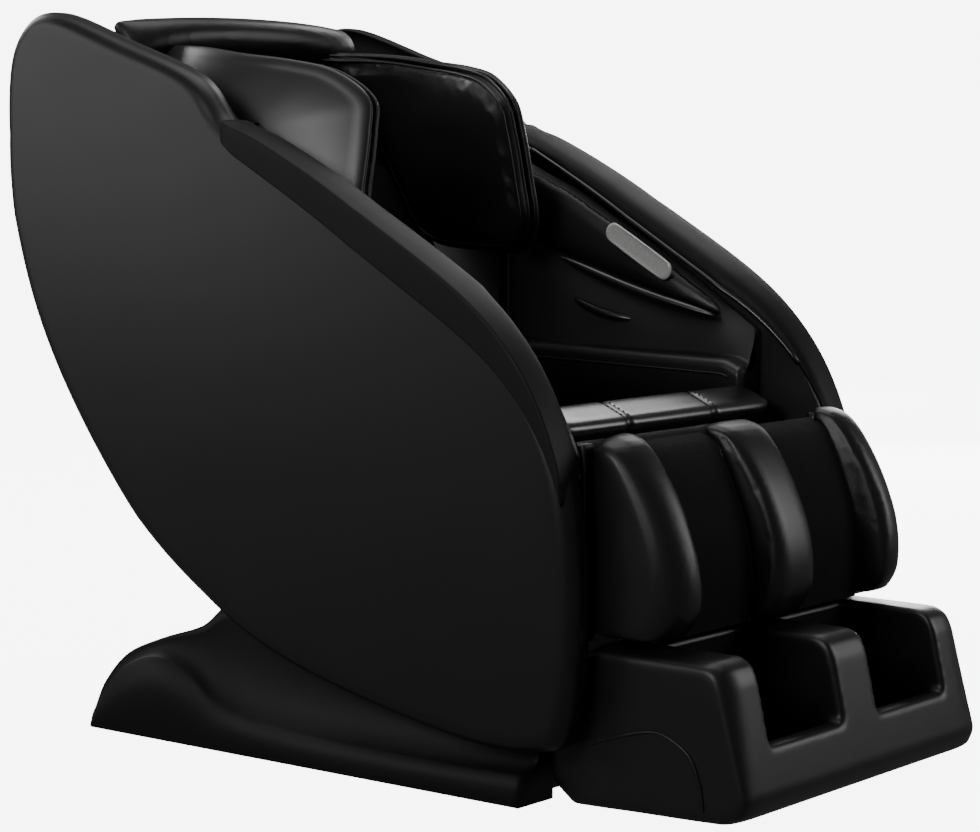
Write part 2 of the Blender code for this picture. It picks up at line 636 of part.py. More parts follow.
# Reclining back, in its own frame
def back_frame():
    """Two side plates with hubs, two guide tracks and two cross bars."""
    outer = PLATE_X - SIDE_PLAY
    plate = [(-0.026, -0.012), (0.000, -0.028), (0.030, -0.020), (0.100, 0.100), (0.104, BACK_LONG - 0.045),
             (0.034, BACK_LONG - 0.045), (0.034, 0.060), (-0.020, 0.022)]
    frame = prism("back_frame", plate, outer - 0.008, outer, STEEL, BACK)
    tools = [prism("back_plate_right", plate, -outer, 0.008 - outer, STEEL, BACK)]
    for word, low in (("low", 0.040), ("high", BACK_LONG - 0.080)):
        half = outer - 0.003
        tools.append(block("back_cross_" + word, (-half, 0.060, low), (half, 0.094, low + 0.030),
                           STEEL, BACK))
    for side in (1, -1):
        tools.append(block("track_%d" % side, (side * TRACK_X - 0.010, 0.062, 0.045),
                           (side * TRACK_X + 0.010, 0.092, BACK_LONG - 0.055), STEEL, BACK))
        for k, low in enumerate((0.300, BACK_PAD_TOP - 0.117)):
            tools.append(block("shell_tab_%d_%d" % (k, side), (side * (outer - 0.004), 0.060, low),
                               (side * (WING_OUT - SHELL_WALL - GAP), 0.084, low + 0.040), STEEL, BACK))
    for word, low in (("low", 0.064), ("high", BACK_PAD_TOP - 0.008)):
        tools.append(block("strap_" + word, (0.004 - outer, 0.034, low), (outer - 0.004, 0.0365, low + 0.030),
                           STEEL, BACK))
    weld(frame, *tools)
    bore(frame, rod("back_bore", (-0.4, 0, 0), (0.4, 0, 0), SHAFT_RADIUS + RUN, STEEL, BACK))


def back_shell():
    """The rear cover: a shallow tray round the back frame."""
    wall = SHELL_WALL
    out = WING_OUT

    def section(z, deep):
        return [(-out, SHELL_EDGE, z), (-out, 0.7 * deep, z), (-0.82 * out, 0.94 * deep, z), (0, deep, z),
                (0.82 * out, 0.94 * deep, z), (out, 0.7 * deep, z), (out, SHELL_EDGE, z),
                (out - wall, SHELL_EDGE, z), (out - wall, 0.7 * deep - wall, z),
                (0.82 * out - 0.5 * wall, 0.94 * deep - wall, z), (0, deep - wall, z),
                (0.5 * wall - 0.82 * out, 0.94 * deep - wall, z), (wall - out, 0.7 * deep - wall, z),
                (wall - out, SHELL_EDGE, z)]

    rings = [section(z, d) for z, d in ((0.110, BACK_DEEP - 0.004), (0.300, BACK_DEEP + 0.006),
                                        (0.560, BACK_DEEP + 0.004), (BACK_LONG - 0.010, BACK_DEEP - 0.008))]
    made = loft("back_shell", rings, SHELL, BACK)
    top = BACK_LONG - 0.010
    lid = [[(x, y, z) for x, y, _ in section(top, BACK_DEEP - 0.008)[:7]] for z in (top - 0.006, top)]
    weld(made, loft("back_lid", lid, SHELL, BACK))
    shade_smooth(made)


PILLOW_SEAT = 0.958   # share of the back cushion's thickness under the pillow


def back_soft():
    """Back cushion and head pillow."""
    rear = 0.034 - GAP

    def place(u, v, h):
        return (mix(-BACK_HALF + 0.014, BACK_HALF - 0.014, u), rear - h, mix(0.060, BACK_PAD_TOP, v))

    cushion("back_cushion", place, BACK_PAD, LEATHER, BACK, 13, 15,
            (("v", 0.22, 0.014), ("v", 0.46, 0.014), ("v", 0.70, 0.014)), rest=0.5)

    def pillow(u, v, h):
        low = BACK_PAD_TOP - 0.167
        return (mix(-0.125, 0.125, u), rear - PILLOW_SEAT * BACK_PAD - GAP - h, mix(low, low + 0.145, v))

    cushion("head_pillow", pillow, 0.045, LEATHER, BACK, 11, 9, (("u", 0.5, 0.008),), rest=0.4)

    def roll(u, v, h):
        return (mix(-HEAD_HALF, HEAD_HALF, u), SHELL_EDGE - GAP - h, mix(HEAD_LOW, BACK_LONG, v))

    cushion("head_roll", roll, HEAD_PAD, LEATHER, BACK, 15, 7, rest=0.45)


WING_REAR = SHELL_EDGE - GAP
WING_FRONT = -0.310
WING_POINTS = ((-0.225, 0.274), (-0.267, 0.342), (-0.302, 0.409), (WING_FRONT, 0.463), (-0.286, 0.516),
               (-0.232, 0.5725), (-0.159, 0.626), (-0.074, 0.679), (0.008, 0.716), (WING_REAR, 0.640),
               (WING_REAR, 0.480), (0.015, 0.380), (-0.072, 0.310), (-0.160, 0.262))
WING = smooth(WING_POINTS, 2)
WING[:, 0] = np.minimum(WING[:, 0], WING_REAR)
WING_NORMAL = normals_2d(WING)
WING_MID = WING.mean(0)


def wing_x(y):
    """Half width of the wing's outer face: it closes in towards the front edge."""
    t = max((WING_REAR - y) / (WING_REAR - WING_FRONT), 0.0)
    return WING_OUT - (WING_OUT - WING_IN) * t * t


def wing(word, side):
    """A curved shoulder wing: outer shell and inner cushion."""
    def ring(scale, inset, inward):
        flat = WING_MID + (WING - WING_NORMAL * inset - WING_MID) * scale
        return [(side * (wing_x(y) - inward), y, z) for y, z in flat]

    shell = [ring(s, 0.005, -0.004 * (1 - s)) for s in (0.25, 0.5, 0.75, 1.0)]
    shell += [ring(1, 0, 0.004), ring(1, 0, WING_WALL)]
    shell += [ring(s, 0.006, WING_WALL) for s in (1.0, 0.75, 0.5, 0.25, 0.05)]
    shade_smooth(loft("wing_shell_" + word, shell, GLOSS, BACK))
    under = WING_WALL + GAP
    pad = [ring(s, 0.010, under + WING_PAD * (1 - 0.3 * s * s)) for s in (0.3, 0.6, 0.85)]
    pad += [ring(0.97, 0.008, under + 0.7 * WING_PAD), ring(1, 0.006, under + 0.4 * WING_PAD)]
    pad += [ring(s, 0.006, under) for s in (1.0, 0.75, 0.5, 0.25, 0.05)]
    shade_smooth(loft("wing_pad_" + word, pad, LEATHER, BACK))


back_frame()
back_shell()
back_soft()
both(wing)

# Massage carriage that climbs the guide tracks
CARRIAGE = Home("carriage", (0, 0, CARRIAGE_LOW), BACK)
ARM_X = TRACK_X - 0.100   # inner face of a massage arm
SHAFT_Y = 0.074
ROLLER_Y = 0.058
ROLLER_Z = 0.044


def carriage():
    """Carriage plate with runners and bearing lugs, its motor and its kneading shaft."""
    z = CARRIAGE_LOW
    plate = block("carriage_frame", (0.031 - TRACK_X, 0.093, z - 0.066), (TRACK_X - 0.031, 0.101, z + 0.066),
                  STEEL, CARRIAGE)
    tools = []
    for side in (1, -1):
        inner = TRACK_X - 0.010 - GAP
        tools.append(block("runner_block_%d" % side, (side * (inner - 0.024), 0.066, z - 0.050),
                           (side * inner, 0.097, z + 0.050), STEEL, CARRIAGE))
        tools.append(block("shaft_lug_%d" % side, (side * (ARM_X - 0.012), SHAFT_Y - 0.014, z - 0.014),
                           (side * (ARM_X - 0.004), 0.097, z + 0.014), STEEL, CARRIAGE))
    weld(plate, *tools)
    bore(plate, rod("shaft_bore", (-0.4, SHAFT_Y, z), (0.4, SHAFT_Y, z), 0.007 + GAP, STEEL, CARRIAGE))
    half = ARM_X + 0.028
    rod("kneading_shaft", (-half, SHAFT_Y, z), (half, SHAFT_Y, z), 0.007, BRIGHT, CARRIAGE)
    y = 0.101 + GAP + 0.016
    rod("kneading_motor", (-0.070, y, z), (0.050, y, z), 0.016, PLASTIC, CARRIAGE)


def massage_arm(word, side):
    """A swinging arm with two stub axles, and its two rollers."""
    z = CARRIAGE_LOW
    home = Home("massage_arm_" + word, (0, SHAFT_Y, z), BACK)
    reach = ROLLER_Z + 0.008
    outline = [(SHAFT_Y + 0.011, z - 0.014), (SHAFT_Y + 0.011, z + 0.014), (ROLLER_Y + 0.008, z + reach),
               (ROLLER_Y - 0.006, z + reach), (SHAFT_Y - 0.012, z), (ROLLER_Y - 0.006, z - reach),
               (ROLLER_Y + 0.008, z - reach)]
    arm = prism("massage_arm_" + word, outline, side * ARM_X, side * (ARM_X + 0.010), STEEL, home)
    for end, rise in (("upper", ROLLER_Z), ("lower", -ROLLER_Z)):
        weld(arm, rod("axle_%s_%s" % (word, end), (side * (ARM_X + 0.004), ROLLER_Y, z + rise),
                      (side * (ARM_X + 0.048), ROLLER_Y, z + rise), 0.004, STEEL, home, 12))
        spin = Home("roller_%s_%s" % (word, end), (0, ROLLER_Y, z + rise), BACK)
        near = (side * (ARM_X + 0.013), ROLLER_Y, z + rise)
        profile = ((0, 0.015), (0.006, ROLLER_RADIUS), (0.026, ROLLER_RADIUS), (0.032, 0.015))
        far = (side, ROLLER_Y, z + rise)
        made = turned("roller_%s_%s" % (word, end), near, far, profile, RUBBER, spin, 18)
        bore(made, rod("roller_bore_%s_%s" % (word, end), (side * ARM_X, ROLLER_Y, z + rise),
                       (side * (ARM_X + 0.1), ROLLER_Y, z + rise), 0.004 + RUN, RUBBER, spin, 12))
    bore(arm, rod("arm_bore_" + word, (0, SHAFT_Y, z), (side * 0.2, SHAFT_Y, z), 0.007 + RUN, STEEL, home))


carriage()
both(massage_arm)

# Leg rest: calf unit on the leg shaft, foot unit on two slide rods
CALF = smooth(CALF_POINTS, 3, closed=False)
BED = smooth(CALF_BASE, 3, closed=False)
SLIDE = Vector((0, math.sin(SLIDE_LEAN), math.cos(SLIDE_LEAN)))
SLIDE_FOOT = Vector((0, -0.474, 0.150))
SLIDE_X = WELL_IN + 0.52 * (WELL_OUT - WELL_IN)
SLIDE_RADIUS = 0.009
SLIDE_LONG = 0.250


def slide_rod_tool(name, side, extra, home):
    """A bar on the slide's line, for the rod itself and for its bores."""
    start = SLIDE_FOOT + Vector((side * SLIDE_X, 0, 0))
    return rod(name, start - SLIDE * extra, start + SLIDE * (SLIDE_LONG + extra), SLIDE_RADIUS + extra,
               BRIGHT, home, 16)


def calf_shell():
    """The tray behind the calf cushions, with hinge lugs and guide bores."""
    low = [p for p in BED if p[1] < CALF_TOP]
    outline = [(y + GAP, z) for y, z in low]
    outline += [(CALF_BACK - 0.020, BED[-1][1] + 0.002), (CALF_BACK, BED[-1][1] + 0.022),
                (CALF_BACK, CALF_TOP - 0.006), (CALF_BACK - 0.008, CALF_TOP)]
    made = prism("calf_shell", outline, -CALF_HALF + 0.004, CALF_HALF - 0.004, SHELL, LEG)
    y, z = LEG_AXIS
    inner = PLATE_X + PLATE_THICK + SIDE_PLAY
    root = CALF_TOP - 0.020
    lug = [(y - 0.026, root), (y + 0.020, root), (y + 0.024, z), (y + 0.014, z + 0.022),
           (y - 0.014, z + 0.022), (y - 0.026, z)]
    for side in (1, -1):
        weld(made, prism("leg_lug_%d" % side, lug, side * inner, side * (inner + 0.008), SHELL, LEG))
    bore(made, rod("leg_bore", (-0.4, y, z), (0.4, y, z), SHAFT_RADIUS + RUN, SHELL, LEG))
    for side in (1, -1):
        bore(made, slide_rod_tool("guide_bore_%d" % side, side, RUN, LEG))


def on_calf(v):
    """A point on the bed under the calf cushions and the cushion's outer point above it."""
    at = v * (len(BED) - 1)
    i = min(int(at), len(BED) - 2)
    return mix(BED[i], BED[i + 1], at - i), mix(CALF[i], CALF[i + 1], at - i)


def calf_cushions():
    """Two outer cushions and a middle ridge over the bed, with lined channels between them."""
    def strip(name, x0, x1, share, paint, **form):
        def place(u, v, h):
            low, high = on_calf(v)
            y, z = mix(low, high, h)
            return (mix(x0, x1, u), y, z)
        cushion(name, place, share, paint, LEG, nv=len(BED), even=True, **form)

    strip("calf_ridge", -CALF_RIDGE, CALF_RIDGE, 1.0, LEATHER, nu=9, rest=0.45)
    for word, side in (("left", 1), ("right", -1)):
        strip("calf_lobe_" + word, side * CALF_LOBE, side * CALF_HALF, 1.0, LEATHER, nu=9, rest=0.5)
        strip("calf_liner_" + word, side * (CALF_RIDGE + GAP), side * (CALF_LOBE - GAP), 0.22, FABRIC,
              nu=7, rest=0.9)


def calf_cheek(word, side):
    """The padded outer side of the leg rest, which covers the hinge."""
    rings = []
    for across, draw in ((0.0, 0.03), (0.004, 0.0), (CHEEK_THICK - 0.012, 0.0), (CHEEK_THICK - 0.004, 0.05),
                         (CHEEK_THICK, 0.15)):
        x = side * (CALF_HALF + GAP + across)
        rings.append([(x, mix(y, CHEEK_MID[0], draw), mix(z, CHEEK_MID[1], draw)) for y, z in CHEEK])
    shade_smooth(loft("calf_cheek_" + word, rings, LEATHER, LEG))


def foot_unit():
    """The foot shell with two open wells, their linings and the slide rods."""
    outline = [(FOOT_FRONT + 0.040, FOOT_LOW + 0.008), (FOOT_FRONT + 0.010, FOOT_LOW + 0.020),
               (FOOT_FRONT, FOOT_LOW + 0.044), (FOOT_FRONT + 0.036, FOOT_TOP - 0.030),
               (FOOT_FRONT + 0.046, FOOT_TOP - 0.010), (FOOT_FRONT + 0.064, FOOT_TOP),
               (FOOT_REAR - 0.080, FOOT_TOP + 0.002), (FOOT_REAR - 0.020, FOOT_TOP - 0.024),
               (FOOT_REAR, FOOT_TOP - 0.054), (FOOT_REAR, FOOT_LOW + 0.030), (FOOT_REAR - 0.040, FOOT_LOW)]
    ends = ((0.0, 0.075), (0.008, 0.022), (0.024, 0.0))
    stations = [(d - FOOT_HALF, s) for d, s in ends] + [(FOOT_HALF - d, s) for d, s in ends[::-1]]
    rings = [[(x, mix(y, FOOT_REAR - 0.12, s), mix(z, 0.11, s)) for y, z in outline] for x, s in stations]
    made = loft("foot_shell", rings, LEATHER, FOOT)
    for word, side in (("left", 1), ("right", -1)):
        front = FOOT_FRONT - 0.05
        well = [(front, WELL_LIP), (FOOT_FRONT + 0.044, WELL_LIP), (FOOT_FRONT + 0.052, WELL_LIP - 0.050),
                (WELL_BACK - 0.014, WELL_LIP - 0.058), (WELL_BACK, FOOT_TOP + 0.06), (front, FOOT_TOP + 0.06)]
        bore(made, prism("well_" + word, well, side * WELL_IN, side * WELL_OUT, LEATHER, FOOT))
        bore(made, slide_rod_tool("rod_seat_" + word, side, GAP, FOOT))
        thick = 0.006
        floor = WELL_LIP - 0.058 + GAP
        slack = 2 * GAP
        top = FOOT_TOP - 0.004
        wall = WELL_BACK - 0.014 * (FOOT_TOP + 0.06 - top) / (FOOT_TOP + 0.118 - WELL_LIP) - slack
        lining = [(FOOT_FRONT + 0.060, floor + 0.009), (WELL_BACK - 0.014 - slack, floor), (wall, top),
                  (wall - thick, top), (WELL_BACK - 0.026, floor + thick + 0.004),
                  (FOOT_FRONT + 0.060, floor + 0.009 + thick)]
        prism("foot_lining_" + word, lining, side * (WELL_IN + GAP), side * (WELL_OUT - GAP), FABRIC, FOOT)
        slide_rod_tool("slide_rod_" + word, side, 0.0, FOOT)


FOOT = Home("foot", SLIDE_FOOT)
calf_shell()
calf_cushions()
both(calf_cheek)
foot_unit()
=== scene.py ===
"""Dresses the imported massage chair: covers, cushions, finishes, floor, lights and camera."""
import json
import math

import bmesh
import bpy
import numpy as np
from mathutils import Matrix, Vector


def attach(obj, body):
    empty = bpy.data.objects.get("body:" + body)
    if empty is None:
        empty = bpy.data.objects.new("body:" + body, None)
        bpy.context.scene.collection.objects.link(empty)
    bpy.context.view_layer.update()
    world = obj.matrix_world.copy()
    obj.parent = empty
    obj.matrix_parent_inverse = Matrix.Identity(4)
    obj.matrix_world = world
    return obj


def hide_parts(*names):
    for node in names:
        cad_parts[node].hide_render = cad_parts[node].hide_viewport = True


bl_info = {
    "name": "Massage Chair Dressing",
    "version": (1, 0, 0),
    "blender": (4, 5, 0),
    "location": "View3D > Sidebar > Massage Chair",
    "description": "Covers, cushions and finishes of a shell-style massage chair",
    "category": "Object",
}

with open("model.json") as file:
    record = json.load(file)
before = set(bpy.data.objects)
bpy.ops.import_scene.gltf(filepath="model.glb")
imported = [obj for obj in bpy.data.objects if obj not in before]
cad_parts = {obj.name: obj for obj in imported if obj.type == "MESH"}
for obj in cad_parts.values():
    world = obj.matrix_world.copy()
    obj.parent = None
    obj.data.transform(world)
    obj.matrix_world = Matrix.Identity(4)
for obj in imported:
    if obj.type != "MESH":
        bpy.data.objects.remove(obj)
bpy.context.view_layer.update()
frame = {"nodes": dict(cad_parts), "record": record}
SIDES = (("left", 1.0), ("right", -1.0))
SPAN = 10  # steps from one outline point to the next

# Sizes in metres. Points seen from the side are (y, z); those of the back are in its own frame.
HALF_WIDTH, FACE_GAP = 0.378, 0.002
PANEL_CROWN, PANEL_DEPTH, PANEL_ROUND, PANEL_WALL = 0.010, 0.044, 0.026, 0.005
PANEL_PEAK, PANEL_LONG, PANEL_SHORT, PANEL_FULL = (0.12, 0.60), 0.99, 0.71, 0.013
PANEL_POINTS = (
    (0.590, 1.142), (0.664, 1.116), (0.697, 1.035), (0.690, 0.880), (0.626, 0.670), (0.502, 0.472),
    (0.328, 0.288), (0.120, 0.168), (-0.200, 0.092), (-0.372, 0.084), (-0.436, 0.130),
    (-0.450, 0.330), (-0.420, 0.505), (-0.316, 0.652), (-0.098, 0.792), (0.130, 0.920),
    (0.206, 0.968), (0.276, 1.036), (0.430, 1.092))
RAIL_FROM, RAIL_TO, RAIL_TAIL, RAIL_TRIM = 13 * SPAN, 16 * SPAN, 12, 8
RAIL_RISE, RAIL_EDGE, EDGE_DROP, TRIM_RADIUS = 0.031, 0.012, 0.006, 0.0042
RAIL_SECTION = (  # way in from the panel's face, share of the rise, height added
    (0.0010, 0, -0.036), (-0.0004, 0, -0.026), (-0.0012, 0.4, -0.014), (-0.0014, 1, -0.009),
    (-0.0010, 1, -0.004), (0.0004, 1, -0.001), (0.003, 1, 0), (0.012, 1, 0.001), (0.030, 1, 0.002),
    (0.052, 1, 0.001), (0.068, 1, -0.002), (0.077, 1, -0.007), (0.082, 0.5, -0.005),
    (0.083, 0, -0.002), (0.081, 0, -0.008), (0.074, 0, -0.010), (0.050, 0, -0.010),
    (0.030, 0, -0.012), (0.012, 0, -0.028))
SKIRT_IN, SKIRT_OUT, SKIRT_LOW, SKIRT_EDGE = 0.2946, 0.378, 0.004, 0.003
SKIRT_NECK, SKIRT_CREASE, SKIRT_FOOT = 0.326, 0.372, 0.3752
SKIRT_STATIONS = (  # y, height of the crease, height of the neck, share of the neck's way out
    (-0.355, 0.050, 0.072, 0.0), (-0.250, 0.047, 0.086, 0.0), (-0.100, 0.046, 0.114, 0.0),
    (0.050, 0.048, 0.152, 0.0), (0.180, 0.058, 0.192, 0.0), (0.252, 0.076, 0.222, 0.0),
    (0.300, 0.112, 0.187, 0.25), (0.370, 0.134, 0.163, 0.6), (0.440, 0.110, 0.132, 0.8),
    (0.490, 0.064, 0.083, 0.85), (0.516, 0.026, 0.036, 0.85))

BACK_AXIS, BACK_LEAN = (0.135, 0.450), math.radians(30.0)
COVER_LOW, COVER_TOP, COVER_EDGE, COVER_DEEP = 0.110, 0.785, 0.030, 0.124
COVER_ROUND, COVER_WALL, COVER_SIDES = 0.036, 0.008, 61
WING_REAR, WING_FRONT, WING_OUT, WING_IN = 0.0294, -0.318, 0.286, 0.190
WING_WALL, WING_PAD, WING_INSET, WING_BULGE = 0.012, 0.040, 0.006, 0.016
WING_LEAN, WING_LEAN_FROM, WING_LEAN_OVER = 0.125, 0.57, 0.20
PIPING, PAD_GAP = 0.0024, 0.0022
WING_POINTS = (
    (-0.225, 0.274), (-0.267, 0.342), (-0.302, 0.409), (WING_FRONT, 0.458), (-0.290, 0.522),
    (-0.240, 0.570), (-0.172, 0.622), (-0.105, 0.674), (-0.035, 0.720), (0.012, 0.742),
    (WING_REAR, 0.680), (WING_REAR, 0.480), (0.015, 0.380), (-0.072, 0.310), (-0.160, 0.262))

# Pads on the back: half width, face, lower edge and length
BACK_FIELD = (0.218, 0.0334, 0.060, 0.657)
HEAD_FIELD = (0.125, -0.0172, 0.550, 0.145)
HEAD_ROLL = (0.275, WING_REAR, 0.724, 0.071)
BACK_FOLD = (
    (-0.0265, 0.0), (-0.020, -0.017), (0.0, -0.0265), (0.020, -0.017), (0.029, 0.006),
    (0.032, 0.044), (0.029, 0.066), (-0.006, 0.066), (-0.016, 0.044), (-0.025, 0.018))
FOLD_RINGS = ((-0.214, 0.80), (-0.212, 0.93), (-0.207, 1), (0.207, 1), (0.212, 0.93), (0.214, 0.80))

SEAT_HALF, SEAT_THICK, SEAT_GAP = 0.232, 0.086, 0.0008
SEAT_FRONT, SEAT_REAR = (-0.345, 0.548), (0.105, 0.462)
ROLL_HALF, ROLL_SEAM, ROLL_DIP, ROLL_CENTRE = 0.282, 0.110, 0.006, (-0.315, 0.532)
ROLL_SHAPE = (
    (0.022, -0.018), (-0.024, -0.024), (-0.036, -0.018), (-0.040, -0.006), (-0.034, 0.004),
    (-0.014, 0.014), (0.006, 0.022), (0.020, 0.022), (0.030, 0.006))
APRONS = (  # name, half width, section
    ("seat_apron", 0.275, ((-0.290, 0.449), (-0.330, 0.449), (-0.352, 0.446), (-0.372, 0.432),
                           (-0.388, 0.404), (-0.392, 0.380), (-0.388, 0.379), (-0.384, 0.402),
                           (-0.368, 0.428), (-0.350, 0.441), (-0.330, 0.444), (-0.290, 0.444))),
    ("seat_rear_apron", 0.242, ((0.060, 0.420), (0.100, 0.414), (0.150, 0.411), (0.195, 0.413),
                                (0.195, 0.408), (0.150, 0.406), (0.100, 0.409), (0.060, 0.415))))

LINER_IN, LINER_OUT, LINER_WALL, SHELF_ROLL = 0.256, 0.318, 0.012, 0.016
ARM_FRONT, ARM_REAR, ARM_BACK, ARM_LOW, SHELF_TOP = -0.300, 0.060, 0.205, 0.470, 0.600
ARM_TOP_Y = (-0.300, -0.200, -0.098, 0.060, 0.205)
ARM_TOP_Z = (0.640, 0.708, 0.772, 0.862, 0.925)
ARM_STEPS, WEB_X = 80, (0.3190, 0.3250, 0.3250, 0.3190)
CUSHION_FROM, CUSHION_LONG, CUSHION_THICK = ARM_FRONT + 0.062, ARM_BACK - ARM_FRONT - 0.080, 0.0235
LIP_FRONT, LIP_SLOPE, LIP_SAG = 0.640, 0.290, 0.006
ARM_LIPS = (  # name, x, rear end, front end, radius
    ("upper", 0.2740, (0.066, 0.748), (-0.234, 0.661), 0.0085),
    ("inner", 0.3010, (0.060, 0.679), (-0.062, 0.647), 0.0075))
PLATE_X, PLATE_AT, PLATE_SLOPE = 0.2815, (-0.088, 0.7615), math.atan(0.585)
PLATE_HALF, PLATE_TALL, PLATE_SIDES = 0.073, 0.0165, 64
PLATE_RINGS = (
    (1.0, 0.0), (1.0, 0.0030), (0.94, 0.0045), (0.86, 0.0036), (0.5, 0.0036), (0.05, 0.0036))

CALF_HALF, CALF_RIDGE, CALF_LOBE, CALF_GAP = 0.288, 0.058, 0.212, 0.0006
CALF_CREST = (
    (-0.432, 0.538), (-0.486, 0.517), (-0.537, 0.450), (-0.572, 0.365), (-0.578, 0.290),
    (-0.556, 0.246))
CALF_BED = (
    (-0.446, 0.510), (-0.470, 0.492), (-0.498, 0.430), (-0.520, 0.365), (-0.526, 0.300),
    (-0.522, 0.246))
LOBE_REAR = (
    (-0.432, 0.512), (-0.430, 0.500), (-0.428, 0.430), (-0.428, 0.365), (-0.428, 0.300),
    (-0.430, 0.248))
LOBE_SECTION = (  # x, share of the way from bed to crest, share of the way from bed to rear
    (0.238, 0, 0), (0.238, 0.45, 0), (0.240, 0.80, 0), (0.247, 0.96, 0), (0.260, 1.0, 0),
    (0.276, 0.97, 0), (0.291, 0.86, 0), (0.303, 0.64, 0), (0.311, 0.34, 0), (0.3135, 0, 0),
    (0.3135, 0, 0.5), (0.311, 0, 0.85), (0.301, 0, 1), (0.2905, 0, 0.85), (0.2895, 0, 0.4),
    (0.2892, 0, 0.02))
BAND_POINTS = (
    (-0.424, 0.252), (-0.424, 0.380), (-0.424, 0.500), (-0.414, 0.516), (-0.404, 0.500),
    (-0.402, 0.380), (-0.404, 0.252))
BAND_RINGS = (
    (0.05, 0), (0.97, 0), (1, 0.003), (1, 0.016), (0.97, 0.0205), (0.90, 0.0235), (0.78, 0.0250),
    (0.4, 0.0254), (0.05, 0.0254))

FOOT_HALF, FOOT_ROUND, FOOT_DRAW, FOOT_GRID, FOOT_SMOOTH = 0.317, 0.042, 0.110, 0.0045, 14
FOOT_MIDDLE = np.array((-0.484, 0.110))
FOOT_POINTS = np.array((
    (-0.661, 0.013), (-0.691, 0.025), (-0.701, 0.049), (-0.665, 0.206), (-0.655, 0.226),
    (-0.637, 0.236), (-0.444, 0.238), (-0.384, 0.212), (-0.364, 0.182), (-0.364, 0.035),
    (-0.404, 0.005)))
WELL_IN, WELL_OUT = 0.048, 0.238
WELL_POINTS = (
    (-0.751, 0.115), (-0.657, 0.115), (-0.649, 0.065), (-0.514, 0.057), (-0.500, 0.296),
    (-0.751, 0.296))
FOOT_SEAM = (
    (-0.440, 0.098), (-0.477, 0.112), (-0.525, 0.126), (-0.561, 0.127), (-0.603, 0.105),
    (-0.622, 0.067), (-0.628, 0.030))

CLOTH_PRESSURE, CLOTH_STIFF, CLOTH_BEND, CLOTH_FRAMES = 4.0, 25, 2.0, 20

LAMPS = (  # name, place, aim, width, height, watts
    ("left_box", (-3.0, 3.4, 1.9), (0.0, 0.1, 0.8), 2.2, 2.4, 40),
    ("top_box", (0.2, 0.4, 3.8), (0.0, 0.0, 0.4), 2.6, 2.2, 38),
    ("rear_box", (0.3, 4.4, 3.0), (0.0, 0.4, 0.8), 1.8, 1.6, 55),
    ("front_box", (2.8, -3.0, 1.6), (0.0, -0.3, 0.4), 1.3, 1.8, 34),
    ("right_box", (4.2, 1.5, 1.3), (0.0, -0.4, 0.45), 1.6, 1.6, 60),
    ("high_box", (3.6, 1.0, 3.6), (0.0, -0.3, 0.5), 1.2, 1.2, 26),
    ("near_box", (-4.2, -0.4, 2.4), (-0.2, 0.4, 1.05), 1.6, 1.4, 58),
    ("back_strip", (5.4, 4.2, 1.35), (0.0, -0.2, 0.5), 3.0, 0.9, 90))
FLOOR_HALF, WALL_RADIUS, WALL_HIGH, WALL_SIDES = 30, 25, 20, 48
BACKDROP_GLOW, BACKDROP_GREY, AMBIENT = 7.0, 0.86, 0.12
CAMERA_AT = (-3.286, -2.645, 0.914)
CAMERA_TURN, CAMERA_DOWN = math.radians(51.2), math.radians(5.5)
SENSOR, FOCAL_PIXELS, PICTURE_PIXELS = 36.0, 2692.0, 980.0


def colour_property(name, description, default):
    """A colour that a user can change."""
    return bpy.props.FloatVectorProperty(name=name, description=description, subtype="COLOR",
                                         size=3, min=0, max=1, default=default)


class ChairLooks(bpy.types.PropertyGroup):
    """Colours and cloth spacing that a user would change."""
    shell: colour_property("Shell", "Colour of the outer covers", (0.0075, 0.0074, 0.0072))
    leather: colour_property("Leather", "Colour of the upholstery", (0.0060, 0.0060, 0.0062))
    lining: colour_property("Lining", "Colour of the channel linings", (0.0040, 0.0040, 0.0044))
    voxel: bpy.props.FloatProperty(name="Cloth grid", unit="LENGTH", default=0.006, min=0.003,
                                   max=0.02, description="Spacing of the cloth used for padding")


class Val:
    """A shader socket that takes arithmetic: every operator adds one Math node."""

    def __init__(self, tree, socket):
        self.tree = tree
        self.socket = socket

    def _math(self, kind, first, second):
        node = self.tree.nodes.new("ShaderNodeMath")
        node.operation = kind
        for slot, value in ((0, first), (1, second)):
            if isinstance(value, Val):
                self.tree.links.new(value.socket, node.inputs[slot])
            else:
                node.inputs[slot].default_value = value
        return Val(self.tree, node.outputs[0])

    def __add__(self, other):
        return self._math("ADD", self, other)

    def __mul__(self, other):
        return self._math("MULTIPLY", self, other)

    __radd__ = __add__
    __rmul__ = __mul__


LOOKS = {}


